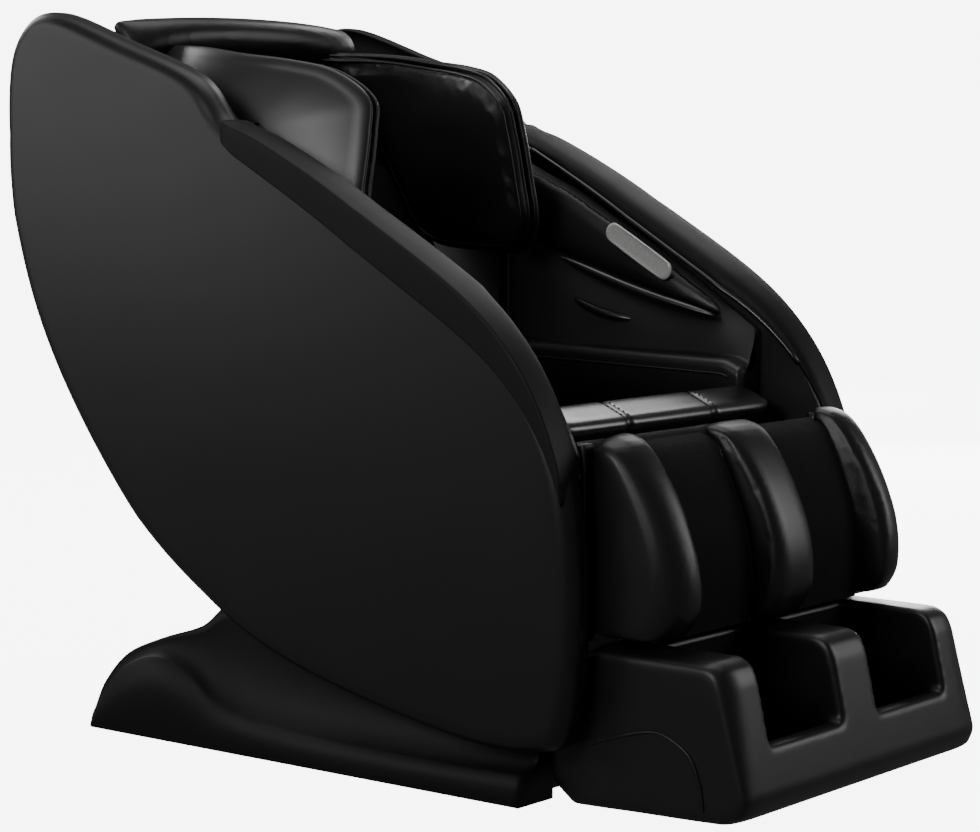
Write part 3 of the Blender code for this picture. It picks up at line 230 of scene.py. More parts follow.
class Finish:
    """One material, kept in LOOKS: its node tree, its shader and its Object coordinates."""

    def __init__(self, name, **fixed):
        material = LOOKS[name] = bpy.data.materials.new(name)
        material.use_nodes = True
        self.tree = material.node_tree
        self.shader = self.tree.nodes["Principled BSDF"]
        for key, value in fixed.items():
            self.shader.inputs[key.replace("_", " ")].default_value = value
        self.place = self.node("ShaderNodeTexCoord", out="Object")

    def node(self, kind, settings=None, out=0, **links):
        """Adds any node: settings first, then the values or links of its sockets."""
        node = self.tree.nodes.new(kind)
        for key, value in (settings or {}).items():
            setattr(node, key, value)
        for key, value in links.items():
            socket = node.inputs[key.replace("_", " ")]
            if isinstance(value, Val):
                self.tree.links.new(value.socket, socket)
            else:
                socket.default_value = value
        return Val(self.tree, node.outputs[out])

    def noise(self, scale, detail=3.0, rough=0.55):
        """Cloud noise on Object coordinates, from 0 to 1."""
        return self.node("ShaderNodeTexNoise", Vector=self.place, Scale=scale, Detail=detail,
                         Roughness=rough)

    def cells(self, scale):
        """Cell pattern on Object coordinates: distance to the cells' edges."""
        return self.node("ShaderNodeTexVoronoi", {"feature": "DISTANCE_TO_EDGE"},
                         Vector=self.place, Scale=scale)

    def threads(self, axis):
        """Parallel threads of a weave, side by side along an axis."""
        return self.node("ShaderNodeTexWave", {"bands_direction": axis}, Vector=self.place,
                         Scale=190.0, Distortion=0.6, Detail=1.0, out=1)

    def feed(self, socket, value):
        """Links a value to one of the shader's sockets."""
        self.tree.links.new(value.socket, self.shader.inputs[socket])

    def tint(self, tones, share):
        """Base colour between two tones, by a share from 0 to 1."""
        mixed = self.node("ShaderNodeMix", {"data_type": "RGBA"}, out=2)
        node = mixed.socket.node
        for slot, tone in zip((6, 7), tones):
            node.inputs[slot].default_value = (*tone, 1)
        self.tree.links.new(share.socket, node.inputs[0])
        self.feed("Base Color", mixed)

    def plain(self, tones, patches, rough, spread, scale, grain=None):
        """Two tones in patches, and a roughness that rises by up to spread, and with a grain."""
        self.tint(tones, self.noise(patches))
        rough = rough + spread * self.noise(scale)
        self.feed("Roughness", rough + grain if grain else rough)

    def bump(self, height, strength, distance):
        """Relief on the normal."""
        self.feed("Normal", self.node("ShaderNodeBump", Height=height, Strength=strength,
                                      Distance=distance))


def shades(colour, low, high):
    """A colour made darker or lighter by two shares."""
    return [tuple(min(1.0, c * share) for c in colour) for share in (low, high)]


def greys(low, high, blue=0.0):
    """Two greys, with a little blue added."""
    return [(tone, tone, tone + blue) for tone in (low, high)]


def make_looks(looks):
    """All finishes; those of shell, leather and lining follow the user's colours."""
    shell = Finish("satin_shell", Specular_IOR_Level=0.42)
    grain = shell.noise(1400.0, 2.0)
    shell.plain(shades(looks.shell, 0.85, 1.2), 5.0, 0.34, 0.05, 9.0, 0.05 * grain)
    shell.bump(grain, 0.10, 0.0003)
    gloss = Finish("smooth_shell", Specular_IOR_Level=0.55, Coat_Weight=0.15, Coat_Roughness=0.2)
    fine = gloss.noise(1100.0, 2.0)
    gloss.plain(shades(looks.shell, 1.3, 1.8), 4.0, 0.27, 0.05, 8.0, 0.04 * fine)
    gloss.bump(fine, 0.06, 0.0002)
    matt = Finish("matt_shell", Specular_IOR_Level=0.21)
    matt.plain(shades(looks.shell, 0.7, 1.2), 6.0, 0.50, 0.08, 18.0)
    matt.bump(matt.noise(420.0), 0.08, 0.0005)
    # Wing shell: the shell colour made 2.2 to 2.9 times lighter, a painted sheen standing in for
    # the light the ears reflect.
    sheen_shell = Finish("shell_painted_sheen", Coat_Weight=0.2, Coat_Roughness=0.30)
    sheen_shell.plain(shades(looks.shell, 2.2, 2.9), 4.0, 0.36, 0.06, 16.0)
    sheen_shell.bump(sheen_shell.noise(380.0), 0.05, 0.0004)

    leather = Finish("black_leather", Specular_IOR_Level=0.50)
    crease = leather.noise(45.0, 6.0, 0.62)
    leather.plain(shades(looks.leather, 0.75, 1.5), 14.0, 0.29, 0.09, 22.0, 0.06 * crease)
    leather.bump(leather.cells(620.0) * 0.9 + crease * 0.35, 0.30, 0.0006)
    # Lighter leather, 1.9 to 2.8 times the leather colour: painted fill light on the wing cushions,
    # inner arm walls and webs, which face away from the lamps.
    fill_leather = Finish("leather_painted_fill")
    fill_leather.plain(shades(looks.leather, 1.9, 2.8), 12.0, 0.34, 0.10, 20.0)
    fill_leather.bump(fill_leather.cells(560.0), 0.22, 0.0006)
    shine = Finish("polished_leather", Specular_IOR_Level=0.65, Coat_Weight=0.3,
                   Coat_Roughness=0.18)
    shine.plain(shades(looks.leather, 0.9, 1.4), 14.0, 0.26, 0.08, 22.0)
    shine.bump(shine.cells(620.0), 0.18, 0.0005)
    Finish("thread").plain(shades(looks.leather, 2.0, 3.5), 60.0, 0.70, 0.1, 90.0)
    cloth = Finish("lining_cloth", Specular_IOR_Level=0.12, Sheen_Weight=0.05, Sheen_Roughness=0.5)
    weave = cloth.threads("X") * cloth.threads("Z")
    cloth.tint(shades(looks.lining, 0.5, 1.7), weave * 0.7 + cloth.noise(60.0) * 0.3)
    cloth.feed("Roughness", 0.80 + 0.12 * cloth.noise(30.0))
    cloth.bump(weave, 0.5, 0.0008)

    Finish("painted_steel", Metallic=0.6).plain(greys(0.05, 0.09, 0.005), 30.0, 0.42, 0.12, 80.0)
    Finish("ground_steel", Metallic=1.0).plain(greys(0.48, 0.62, 0.02), 300.0, 0.22, 0.12, 120.0)
    rubber = Finish("dull_rubber", Specular_IOR_Level=0.3)
    rubber.plain(greys(0.012, 0.026), 40.0, 0.72, 0.15, 200.0)
    plastic = Finish("moulded_plastic", Specular_IOR_Level=0.4)
    speck = plastic.noise(900.0, 2.0)
    plastic.tint(((0.022, 0.022, 0.023), (0.040, 0.040, 0.042)), plastic.noise(25.0))
    plastic.feed("Roughness", 0.48 + 0.12 * speck)
    plastic.bump(speck, 0.2, 0.0004)
    plate = Finish("bright_plate", Metallic=0.25)
    plate.plain(greys(0.62, 0.78, -0.01), 160.0, 0.20, 0.12, 400.0)


SLOT_LOOK = {"steel": "painted_steel", "bright_steel": "ground_steel", "shell": "satin_shell",
             "gloss": "smooth_shell", "leather": "black_leather", "fabric": "lining_cloth",
             "rubber": "dull_rubber", "plastic": "moulded_plastic", "plate": "bright_plate"}


def curve(points, per, closed=True):
    """Smooth curve through points: cubics whose slopes are half the neighbours' chords."""
    p = np.asarray(points, float)
    n = len(p)
    at = np.arange(n if closed else n - 1)
    pick = (lambda k: p[(at + k) % n]) if closed else (lambda k: p[np.clip(at + k, 0, n - 1)])
    p0, p1, p2, p3 = (pick(k)[:, None, :] for k in (-1, 0, 1, 2))
    t = (np.arange(per) / per)[None, :, None]
    bend = 2 * p0 - 5 * p1 + 4 * p2 - p3 + t * (3 * (p1 - p2) + p3 - p0)
    out = p1 + 0.5 * t * (p2 - p0 + t * bend)
    out = out.reshape(-1, p.shape[1])
    return out if closed else np.vstack([out, p[-1:]])


def unit(vectors):
    """Vectors drawn out or in to a length of 1."""
    return vectors / np.linalg.norm(vectors, axis=1, keepdims=True)


def outward(outline):
    """Unit normals of a closed outline: a quarter turn of the chord between the neighbours."""
    chord = np.roll(outline, -1, 0) - np.roll(outline, 1, 0)
    ahead = np.roll(outline, -1, 0)
    area = np.sum(outline[:, 0] * ahead[:, 1] - outline[:, 1] * ahead[:, 0])
    side = np.stack([chord[:, 1], -chord[:, 0]], 1) * np.sign(area)
    return unit(side)


def to_world(points):
    """Points in the back's own frame turned by its lean and moved to its axis."""
    x, y, z = np.moveaxis(np.asarray(points, float), -1, 0)
    c, s = math.cos(BACK_LEAN), math.sin(BACK_LEAN)
    return np.stack([x, BACK_AXIS[0] + y * c + z * s, BACK_AXIS[1] - y * s + z * c], -1)


def ramp(value, start, length):
    """0 up to the start, 1 from the start plus the length on, and a straight rise between."""
    return np.clip((value - start) / length, 0, 1)


def quarter(count):
    """Angles of a quarter turn."""
    return np.linspace(0, math.pi / 2, count)


def at_x(x, outline):
    """A side outline stood up at one x."""
    return np.column_stack([np.full(len(outline), x), outline])


def sections(x, y, z):
    """Rings of points from three grids brought to one shape."""
    return np.stack(np.broadcast_arrays(x, y, z), -1)


def stand(x, flat):
    """Rings of points from their x, per ring or per point, and the rings seen from the side."""
    return np.concatenate([np.broadcast_to(x[..., None], (*flat.shape[:2], 1)), flat], -1)


def finish_mesh(name, verts, faces, look, smooth=True):
    """A new object at the origin from points and faces, with its normals turned outwards."""
    mesh = bpy.data.meshes.new(name)
    mesh.from_pydata(verts.tolist(), [], faces)
    work = bmesh.new()
    work.from_mesh(mesh)
    bmesh.ops.remove_doubles(work, verts=work.verts, dist=1e-5)
    bmesh.ops.recalc_face_normals(work, faces=work.faces)
    work.to_mesh(mesh)
    work.free()
    mesh.polygons.foreach_set("use_smooth", np.full(len(mesh.polygons), smooth))
    mesh.materials.append(LOOKS[look])
    thing = bpy.data.objects.new(name, mesh)
    bpy.context.collection.objects.link(thing)
    return thing


def quads(nu, nv, wrap):
    """Corner numbers of a grid's quads; wrap joins the last column to the first."""
    u, v = np.meshgrid(np.arange(nu - 1), np.arange(nv if wrap else nv - 1), indexing="ij")
    a = u * nv + v
    b = u * nv + (v + 1) % nv
    return np.stack([a, b, b + nv, a + nv], -1).reshape(-1, 4).tolist()


def loft(name, rings, look="black_leather", smooth=True):
    """Closed rings joined in order, each end closed by a fan round its middle point."""
    rings = np.asarray(rings, float)
    nu, nv, _ = rings.shape
    verts = np.vstack([rings.reshape(-1, 3), rings[0].mean(0), rings[-1].mean(0)])
    faces = quads(nu, nv, True)
    around = np.arange(nv)
    for hub, row in ((nu * nv, 0), (nu * nv + 1, nu - 1)):
        fan = [np.full(nv, hub), row * nv + around, row * nv + (around + 1) % nv]
        faces += np.stack(fan, -1).tolist()
    return finish_mesh(name, verts, faces, look, smooth)


def tube(name, path, radius, look="black_leather", sides=10, closed=False):
    """A round leather tube along a path: a circle square to the path's chord at each point."""
    path = np.asarray(path, float)
    chord = np.roll(path, -1, 0) - np.roll(path, 1, 0) if closed else np.gradient(path, axis=0)
    chord = unit(chord)
    hint = np.where(np.abs(chord[:, :1]) > 0.9, [[0.0, 0.0, 1.0]], [[1.0, 0.0, 0.0]])
    one = unit(np.cross(chord, hint))
    two = np.cross(chord, one)
    turn = np.linspace(0, 2 * math.pi, sides, endpoint=False)
    circle = one[:, None] * np.cos(turn)[:, None] + two[:, None] * np.sin(turn)[:, None]
    rings = path[:, None] + radius * circle
    if closed:
        rings = np.vstack([rings, rings[:1]])
        faces = quads(len(rings), sides, True)
        return finish_mesh(name, rings.reshape(-1, 3), faces, look)
    return loft(name, rings, look)


def stitches(name, path, body, pitch=0.009, thick=0.0009):
    """A row of thread beads on a path: each is a six-sided spindle drawn out along it."""
    path = np.asarray(path, float)
    walk = np.concatenate([[0], np.cumsum(np.linalg.norm(np.diff(path, axis=0), axis=1))])
    at = np.arange(pitch, walk[-1] - pitch, pitch)

    def along(shift):
        return np.stack([np.interp(at + shift, walk, path[:, k]) for k in range(3)], -1)

    spot = along(0.0)
    ahead = unit(along(0.002) - spot)
    over = unit(np.cross(ahead, (0.36, 0.48, 0.80)))
    third = np.cross(ahead, over)
    turn = np.arange(6)[:, None, None] * math.pi / 3
    belt = np.cos(turn) * over + np.sin(turn) * third
    tip = 0.3 * pitch * ahead
    verts = np.concatenate([(spot - tip)[None], spot + thick * belt, (spot + tip)[None]])
    pairs = [(1 + k, 1 + (k + 1) % 6) for k in range(6)]
    one = np.array([(0, b, a) for a, b in pairs] + [(7, a, b) for a, b in pairs])
    faces = (one[None] + 8 * np.arange(len(at))[:, None, None]).reshape(-1, 3).tolist()
    verts = verts.swapaxes(0, 1).reshape(-1, 3)
    settle(finish_mesh(name, verts, faces, "thread", smooth=False), body)


def pad(name, place, thick, nu, nv, rest, folds=(), power=4, look="black_leather"):
    """A closed padded form over the unit square: its top, its bottom and a wall between them.

    The height is thick times (rest + (1 - rest) * root of the product of two flat-topped humps),
    less a bell-shaped dip along each fold.
    """
    u, v = np.meshgrid(np.linspace(0, 1, nu), np.linspace(0, 1, nv), indexing="ij")
    humps = (1 - np.abs(2 * u - 1) ** power) * (1 - np.abs(2 * v - 1) ** power)
    full = np.sqrt(np.clip(humps, 0, 1))
    high = thick * (rest + (1 - rest) * full)
    for which, where, depth, width in folds:
        way = (u if which == "u" else v) - where
        high = high - depth * np.exp(-(way / width) ** 2) * full
    top, low = place(u, v, high), place(u, v, np.zeros_like(high))
    count = nu * nv
    verts = np.vstack([top.reshape(-1, 3), low.reshape(-1, 3)])
    grid = np.array(quads(nu, nv, False))
    at = np.arange(count).reshape(nu, nv)
    edge = np.concatenate([at[:-1, 0], at[-1, :-1], at[:0:-1, -1], at[0, :0:-1]])
    ahead = np.roll(edge, -1)
    wall = np.stack([edge, ahead, ahead + count, edge + count], -1)
    faces = np.vstack([grid, grid[:, ::-1] + count, wall]).tolist()
    return finish_mesh(name, verts, faces, look)


def bake(thing):
    """Keeps what a piece's modifiers make of it as its mesh."""
    shown = thing.evaluated_get(bpy.context.evaluated_depsgraph_get())
    mesh = bpy.data.meshes.new_from_object(shown)
    thing.modifiers.clear()
    thing.data = mesh
    return mesh


def regrid(thing, size):
    """Remeshes a piece on an even grid."""
    grid = thing.modifiers.new("grid", "REMESH")
    grid.mode = "VOXEL"
    grid.voxel_size = size
    return grid


def swell(thing, cap):
    """Blows a padded form up as cloth: remesh, pressure without weight, movement capped, kept."""
    scene = bpy.context.scene
    bpy.context.view_layer.objects.active = thing
    regrid(thing, scene.chair_looks.voxel)
    mesh = bake(thing)
    start = np.empty(len(mesh.vertices) * 3)
    mesh.vertices.foreach_get("co", start)
    cloth = thing.modifiers.new("cloth", "CLOTH")
    cloth.settings.use_pressure = True
    cloth.settings.uniform_pressure_force = CLOTH_PRESSURE
    cloth.settings.effector_weights.gravity = 0.0
    cloth.settings.tension_stiffness = CLOTH_STIFF
    cloth.settings.compression_stiffness = CLOTH_STIFF
    cloth.settings.bending_stiffness = CLOTH_BEND
    cloth.point_cache.frame_start = 1
    cloth.point_cache.frame_end = CLOTH_FRAMES
    for at in range(1, CLOTH_FRAMES + 1):
        scene.frame_set(at)
    deps = bpy.context.evaluated_depsgraph_get()
    blown = np.empty_like(start)
    thing.evaluated_get(deps).data.vertices.foreach_get("co", blown)
    thing.modifiers.clear()
    scene.frame_set(1)
    move = (blown - start).reshape(-1, 3)
    far = np.linalg.norm(move, axis=1, keepdims=True)
    move *= np.minimum(1.0, cap / np.maximum(far, 1e-9))
    mesh.vertices.foreach_set("co", (start.reshape(-1, 3) + move).ravel())
    mesh.polygons.foreach_set("use_smooth", np.full(len(mesh.polygons), True))
    mesh.update()
    smooth = thing.modifiers.new("fine", "SUBSURF")
    smooth.levels = 1
    smooth.render_levels = 1
    return thing


def settle(thing, body, *nodes, fill=None):
    """Ties a piece to its body and hides the frame's nodes that it stands for."""
    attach(thing, body)
    if nodes:
        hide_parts(*nodes)
    return thing


def panel_x(flat):
    """Half width of a side panel's face: a bell over the leaf's long and short axes."""
    y, z = flat[..., 0] - PANEL_PEAK[0], flat[..., 1] - PANEL_PEAK[1]
    along, across = (z + y) / PANEL_LONG, (z - y) / PANEL_SHORT
    crown = 1.1 * PANEL_CROWN * np.exp(-1.3 * (along ** 2 + across ** 2))
    return HALF_WIDTH - FACE_GAP + crown


def on_back(half, face, low, length):
    """Places a pad on the back: its unit square and height in the back's own frame."""
    def place(u, v, h):
        return to_world(np.stack([half * (2 * u - 1), face - h, low + length * v], -1))
    return place


def calf_line(line, v):
    """Points of one of the calf rest's side curves at shares of its length."""
    return np.stack([np.interp(v, CALF_STEPS, line[:, k]) for k in (0, 1)], -1)


PANEL = curve(PANEL_POINTS, SPAN)
PANEL_NORMAL = outward(PANEL)
FULLER = ((1 - ramp(PANEL[:, 1], 0.83, 0.12)) * ramp(PANEL[:, 1], 0.24, 0.12)
          * ramp(PANEL[:, 0], -0.05, 0.25))
PANEL += PANEL_FULL * FULLER[:, None] * PANEL_NORMAL
PANEL_MID = curve(PANEL_POINTS, 3).mean(0)
WING = curve(WING_POINTS, SPAN)
WING[:, 0] = np.minimum(WING[:, 0], WING_REAR)
WING_NORMAL = outward(WING)
WING_MID = curve(WING_POINTS, 2).mean(0)
BED, CREST, REAR = (curve(line, 24, closed=False) for line in (CALF_BED, CALF_CREST, LOBE_REAR))
CALF_STEPS = np.linspace(0, 1, len(BED))


class CHAIR_OT_covers(bpy.types.Operator):
    """Side panels, arm rails and base skirts"""
    bl_idname = "chair.covers"
    bl_label = "Outer Covers"

    def execute(self, context):
        for word, side in SIDES:
            self.panel(word, side)
            self.rail(word, side)
            self.skirt(word, side)
        return {"FINISHED"}

    def panel(self, word, side):
        """The leaf outline over a bell-shaped crown, round the turned edge and back inside."""
        def ring(scale, inset, inward):
            flat = PANEL_MID + (PANEL - PANEL_NORMAL * inset - PANEL_MID) * scale
            return np.column_stack([side * (panel_x(flat) - inward), flat])

        rings = [ring(s, PANEL_ROUND, 0) for s in np.linspace(0.03, 0.98, 30)]
        rings += [ring(1, PANEL_ROUND * (1 - math.sin(turn)), PANEL_ROUND * (1 - math.cos(turn)))
                  for turn in quarter(12)]
        rings += [ring(1, inset, inward) for inset, inward in (
            (0, PANEL_DEPTH - 0.003), (0.0015, PANEL_DEPTH - 0.001),
            (PANEL_WALL, PANEL_DEPTH - 0.001), (PANEL_WALL, PANEL_ROUND),
            (PANEL_ROUND + PANEL_WALL, PANEL_WALL))]
        rings += [ring(s, PANEL_ROUND, PANEL_WALL + 0.001) for s in (0.8, 0.5, 0.2)]
        made = loft("panel_cover_" + word, rings, "satin_shell")
        settle(made, "body", "side_panel_" + word)

    def rail(self, word, side):
        """A flat band flush with the panel's face, turned over the upper edge; it dies out at both
        ends and runs on, half as wide, down the panel's front edge."""
        at = np.arange(RAIL_FROM - RAIL_TAIL, RAIL_TO + 1)
        t = np.clip((RAIL_TO - at) / (RAIL_TO - RAIL_FROM), 0, 1)
        rise = RAIL_RISE * np.sin(0.5 * math.pi * t) * (1 - 0.30 * t ** 6)
        rise *= ramp(at, RAIL_FROM - RAIL_TAIL, RAIL_TAIL) ** 0.7
        wide = 1 - 0.5 * np.clip((RAIL_FROM + 4 - at) / (RAIL_TAIL + 4), 0, 1) ** 0.6
        across, share, add = np.array(RAIL_SECTION).T
        up = share[None, :] * rise[:, None] + add[None, :]
        outer = panel_x(PANEL[at] - PANEL_NORMAL[at] * PANEL_ROUND)
        across = np.minimum(across, RAIL_EDGE) + np.maximum(across - RAIL_EDGE, 0) * wide[:, None]
        y, z = PANEL[at].T[:, :, None]
        rings = sections(side * (outer[:, None] - across), y, z + up)
        rings = np.stack([curve(ring, 3) for ring in rings])
        made = loft("arm_cap_" + word, rings, "matt_shell")
        settle(made, "body", "arm_rail_" + word)
        line = np.column_stack([side * (outer - across.max(1)), PANEL[at] - [0, EDGE_DROP]])
        line = line[RAIL_TRIM:-RAIL_TRIM]
        made = tube("arm_trim_" + word, line, TRIM_RADIUS, "polished_leather")
        settle(made, "body")

    def skirt(self, word, side):
        """Sections joined along the length: flat foot, crease, hollow flank, neck."""
        y, crease, neck, out = curve(SKIRT_STATIONS, 6, closed=False).T[:, :, None]
        x = SKIRT_NECK + (SKIRT_CREASE - SKIRT_NECK) * out
        t = np.linspace(0, 1, 10)[None, :]
        flank_x = x + (SKIRT_CREASE - x) * (1 - t) ** 2.2
        flank_z = crease + (neck - crease) * t ** 1.5
        ones = np.ones_like(y)
        px = np.hstack([SKIRT_IN * ones, (SKIRT_OUT - SKIRT_EDGE) * ones, SKIRT_OUT * ones,
                        SKIRT_FOOT * ones, flank_x, SKIRT_IN * ones])
        pz = np.hstack([SKIRT_LOW * ones, SKIRT_LOW * ones, (SKIRT_LOW + SKIRT_EDGE) * ones,
                        0.6 * crease, flank_z, neck])
        rings = sections(side * px, y, pz)
        made = loft("skirt_cover_" + word, rings, "matt_shell")
        settle(made, "base", "base_skirt_" + word)


class CHAIR_OT_wings(bpy.types.Operator):
    """Rear cover and shoulder wings: outer shells, inner cushions and the piping between them"""
    bl_idname = "chair.wings"
    bl_label = "Shoulder Wings"

    def execute(self, context):
        self.cover()
        for word, side in SIDES:
            self.wing(word, side)
        return {"FINISHED"}

    def cover(self):
        """The rear tray: rounded sections whose depth runs out over the top, outside and inside
        in one skin."""
        turn = np.linspace(0, math.pi, COVER_SIDES)
        flat = np.sign(np.cos(turn)) * np.abs(np.cos(turn)) ** (2 / 7)
        bow = np.sin(turn) ** 0.4
        bend = COVER_TOP - COVER_ROUND
        over = bend + COVER_ROUND * np.sin(quarter(9)[1:])
        rings = []
        for z in np.concatenate([np.linspace(COVER_LOW, bend, 24), over]):
            share = math.sqrt(max(0.0, 1 - max(0.0, (z - bend) / COVER_ROUND) ** 2))
            deep = COVER_DEEP * max(share, 0.14)
            thin = min(COVER_WALL, 0.6 * deep)
            low = z - (0.006 if share < 0.3 else 0)
            x = np.concatenate([-WING_OUT * flat, (WING_OUT - COVER_WALL) * flat])
            y = COVER_EDGE + np.concatenate([deep * bow, (deep - thin) * bow])
            rings.append(to_world(np.column_stack([x, y, np.repeat((z, low), COVER_SIDES)])))
        settle(loft("back_cover", rings, "satin_shell"), "back", "back_shell")

    def wing(self, word, side):
        """Rings of the wing's outline; the half width falls off as the square of the way forward,
        and the top leans in."""
        def ring(scale, inset, inward):
            flat = WING_MID + (WING - WING_NORMAL * inset - WING_MID) * scale
            t = np.clip((WING_REAR - flat[:, 0]) / (WING_REAR - WING_FRONT), 0, None)
            x = WING_OUT - (WING_OUT - WING_IN) * t * t - inward
            x -= WING_LEAN * np.clip((flat[:, 1] - WING_LEAN_FROM) / WING_LEAN_OVER, 0, None) ** 2
            return to_world(np.column_stack([side * x, flat]))

        def edge(turns, out):
            return [ring(1, out * (1 - math.sin(turn)), half * (1 - math.cos(turn)))
                    for turn in turns[1:]]

        half = 0.5 * WING_WALL
        rings = [ring(s, 3 * half, -WING_BULGE * (1 - s * s)) for s in np.linspace(0.04, 1, 24)]
        rings += edge(quarter(10), 3 * half) + edge(math.pi / 2 + quarter(6), half)
        rings += [ring(s, half, WING_WALL) for s in np.linspace(0.9, 0.1, 8)]
        # The wing's outer shell takes the lighter shell colour: painted sheen.
        made = loft("wing_cover_" + word, rings, "shell_painted_sheen")
        settle(made, "back", "wing_shell_" + word)

        under = WING_WALL + PAD_GAP
        rings = [ring(s, WING_INSET, under) for s in np.linspace(0.1, 0.98, 10)]
        rings += [ring(1 - 0.06 * (1 - math.cos(turn)), WING_INSET,
                       under + 0.75 * WING_PAD * math.sin(turn)) for turn in quarter(8)]
        rings += [ring(s, WING_INSET, under + WING_PAD * (1 - 0.28 * s * s))
                  for s in np.linspace(0.9, 0.05, 14)]
        # Wing cushion in the lighter leather: painted fill light.
        made = loft("wing_cushion_" + word, rings, "leather_painted_fill")
        settle(swell(made, 0.006), "back", "wing_pad_" + word, fill=0.7)
        for k, (inset, inward) in enumerate(((0.0040, WING_WALL + 0.002),
                                             (0.0050, under + 0.36 * WING_PAD),
                                             (0.0135, under + 0.76 * WING_PAD))):
            settle(tube("wing_piping_%s_%d" % (word, k), ring(1, inset, inward), PIPING,
                        closed=True), "back")


class CHAIR_OT_seat(bpy.types.Operator):
    """Seat, back and head cushions, the seat's front roll, and aprons in the gaps between them"""
    bl_idname = "chair.seat"
    bl_label = "Seat And Back"

    def execute(self, context):
        self.seat()
        self.front_roll()
        self.back()
        self.head()
        return {"FINISHED"}

    def seat(self):
        """A pad that falls towards the back, with two seams along it."""
        def place(u, v, h):
            y, z = (SEAT_FRONT[k] + (SEAT_REAR[k] - SEAT_FRONT[k]) * v for k in (0, 1))
            return np.stack([SEAT_HALF * (2 * u - 1), y, z - SEAT_THICK + h + SEAT_GAP], -1)

        seams = tuple(("u", at, 0.014, 0.022) for at in (0.30, 0.70))
        made = pad("seat_padding", place, SEAT_THICK - 0.002, 90, 80, 0.55, seams, 6)
        settle(swell(made, 0.008), "body", "seat_cushion", fill=0.75)

    def front_roll(self):
        """One section carried across the seat's edge, drawn in at two seams and at both ends; the
        seat's aprons below it."""
        x = np.linspace(-ROLL_HALF, ROLL_HALF, 160)
        dip = sum(np.exp(-((x - at) / ROLL_DIP) ** 2) for at in (-ROLL_SEAM, ROLL_SEAM))
        end = np.clip(1 - np.abs(x / ROLL_HALF) ** 20, 0.02, 1)
        full = np.sqrt(end) * (1 - 0.10 * dip)
        rings = stand(x[:, None], ROLL_CENTRE + curve(ROLL_SHAPE, 5) * full[:, None, None])
        settle(loft("seat_front_roll", rings, "polished_leather"), "body", fill=0.8)
        for word, side in SIDES:
            for k, gap in enumerate((-0.0075, 0.0075)):
                near = rings[np.abs(x - side * (ROLL_SEAM + gap)).argmin(), 15:36]
                stitches("roll_thread_%s_%d" % (word, k), near + [0, -0.0003, 0.0004], "body")
        for name, half, line in APRONS:
            hang = curve(line, 4)
            rings = [at_x(at, hang) for at in np.linspace(-half, half, 12)]
            settle(loft(name, rings, "lining_cloth"), "body")

    def back(self):
        """A long pad with three seams across, and the fold that closes its lower end."""
        seams = tuple(("v", at, 0.013, 0.018) for at in (0.22, 0.46, 0.70))
        made = pad("back_padding", on_back(*BACK_FIELD), 0.048, 80, 110, 0.5, seams, 6)
        settle(swell(made, 0.006), "back", "back_cushion", fill=0.7)
        fold = curve(BACK_FOLD, 5)
        rings = [to_world(at_x(x, fold * share)) for x, share in FOLD_RINGS]
        settle(loft("back_apron", rings), "back", fill=0.6)

    def head(self):
        """The pillow with its middle seam, and the roll along the back's upper edge."""
        made = pad("head_padding", on_back(*HEAD_FIELD), 0.042, 70, 50, 0.35,
                   (("u", 0.5, 0.007, 0.05),))
        settle(swell(made, 0.008), "back", "head_pillow", fill=0.65)
        made = pad("head_roll_padding", on_back(*HEAD_ROLL), 0.068, 90, 40, 0.20, power=2.2)
        settle(swell(made, 0.005), "back", "head_roll", fill=0.7)


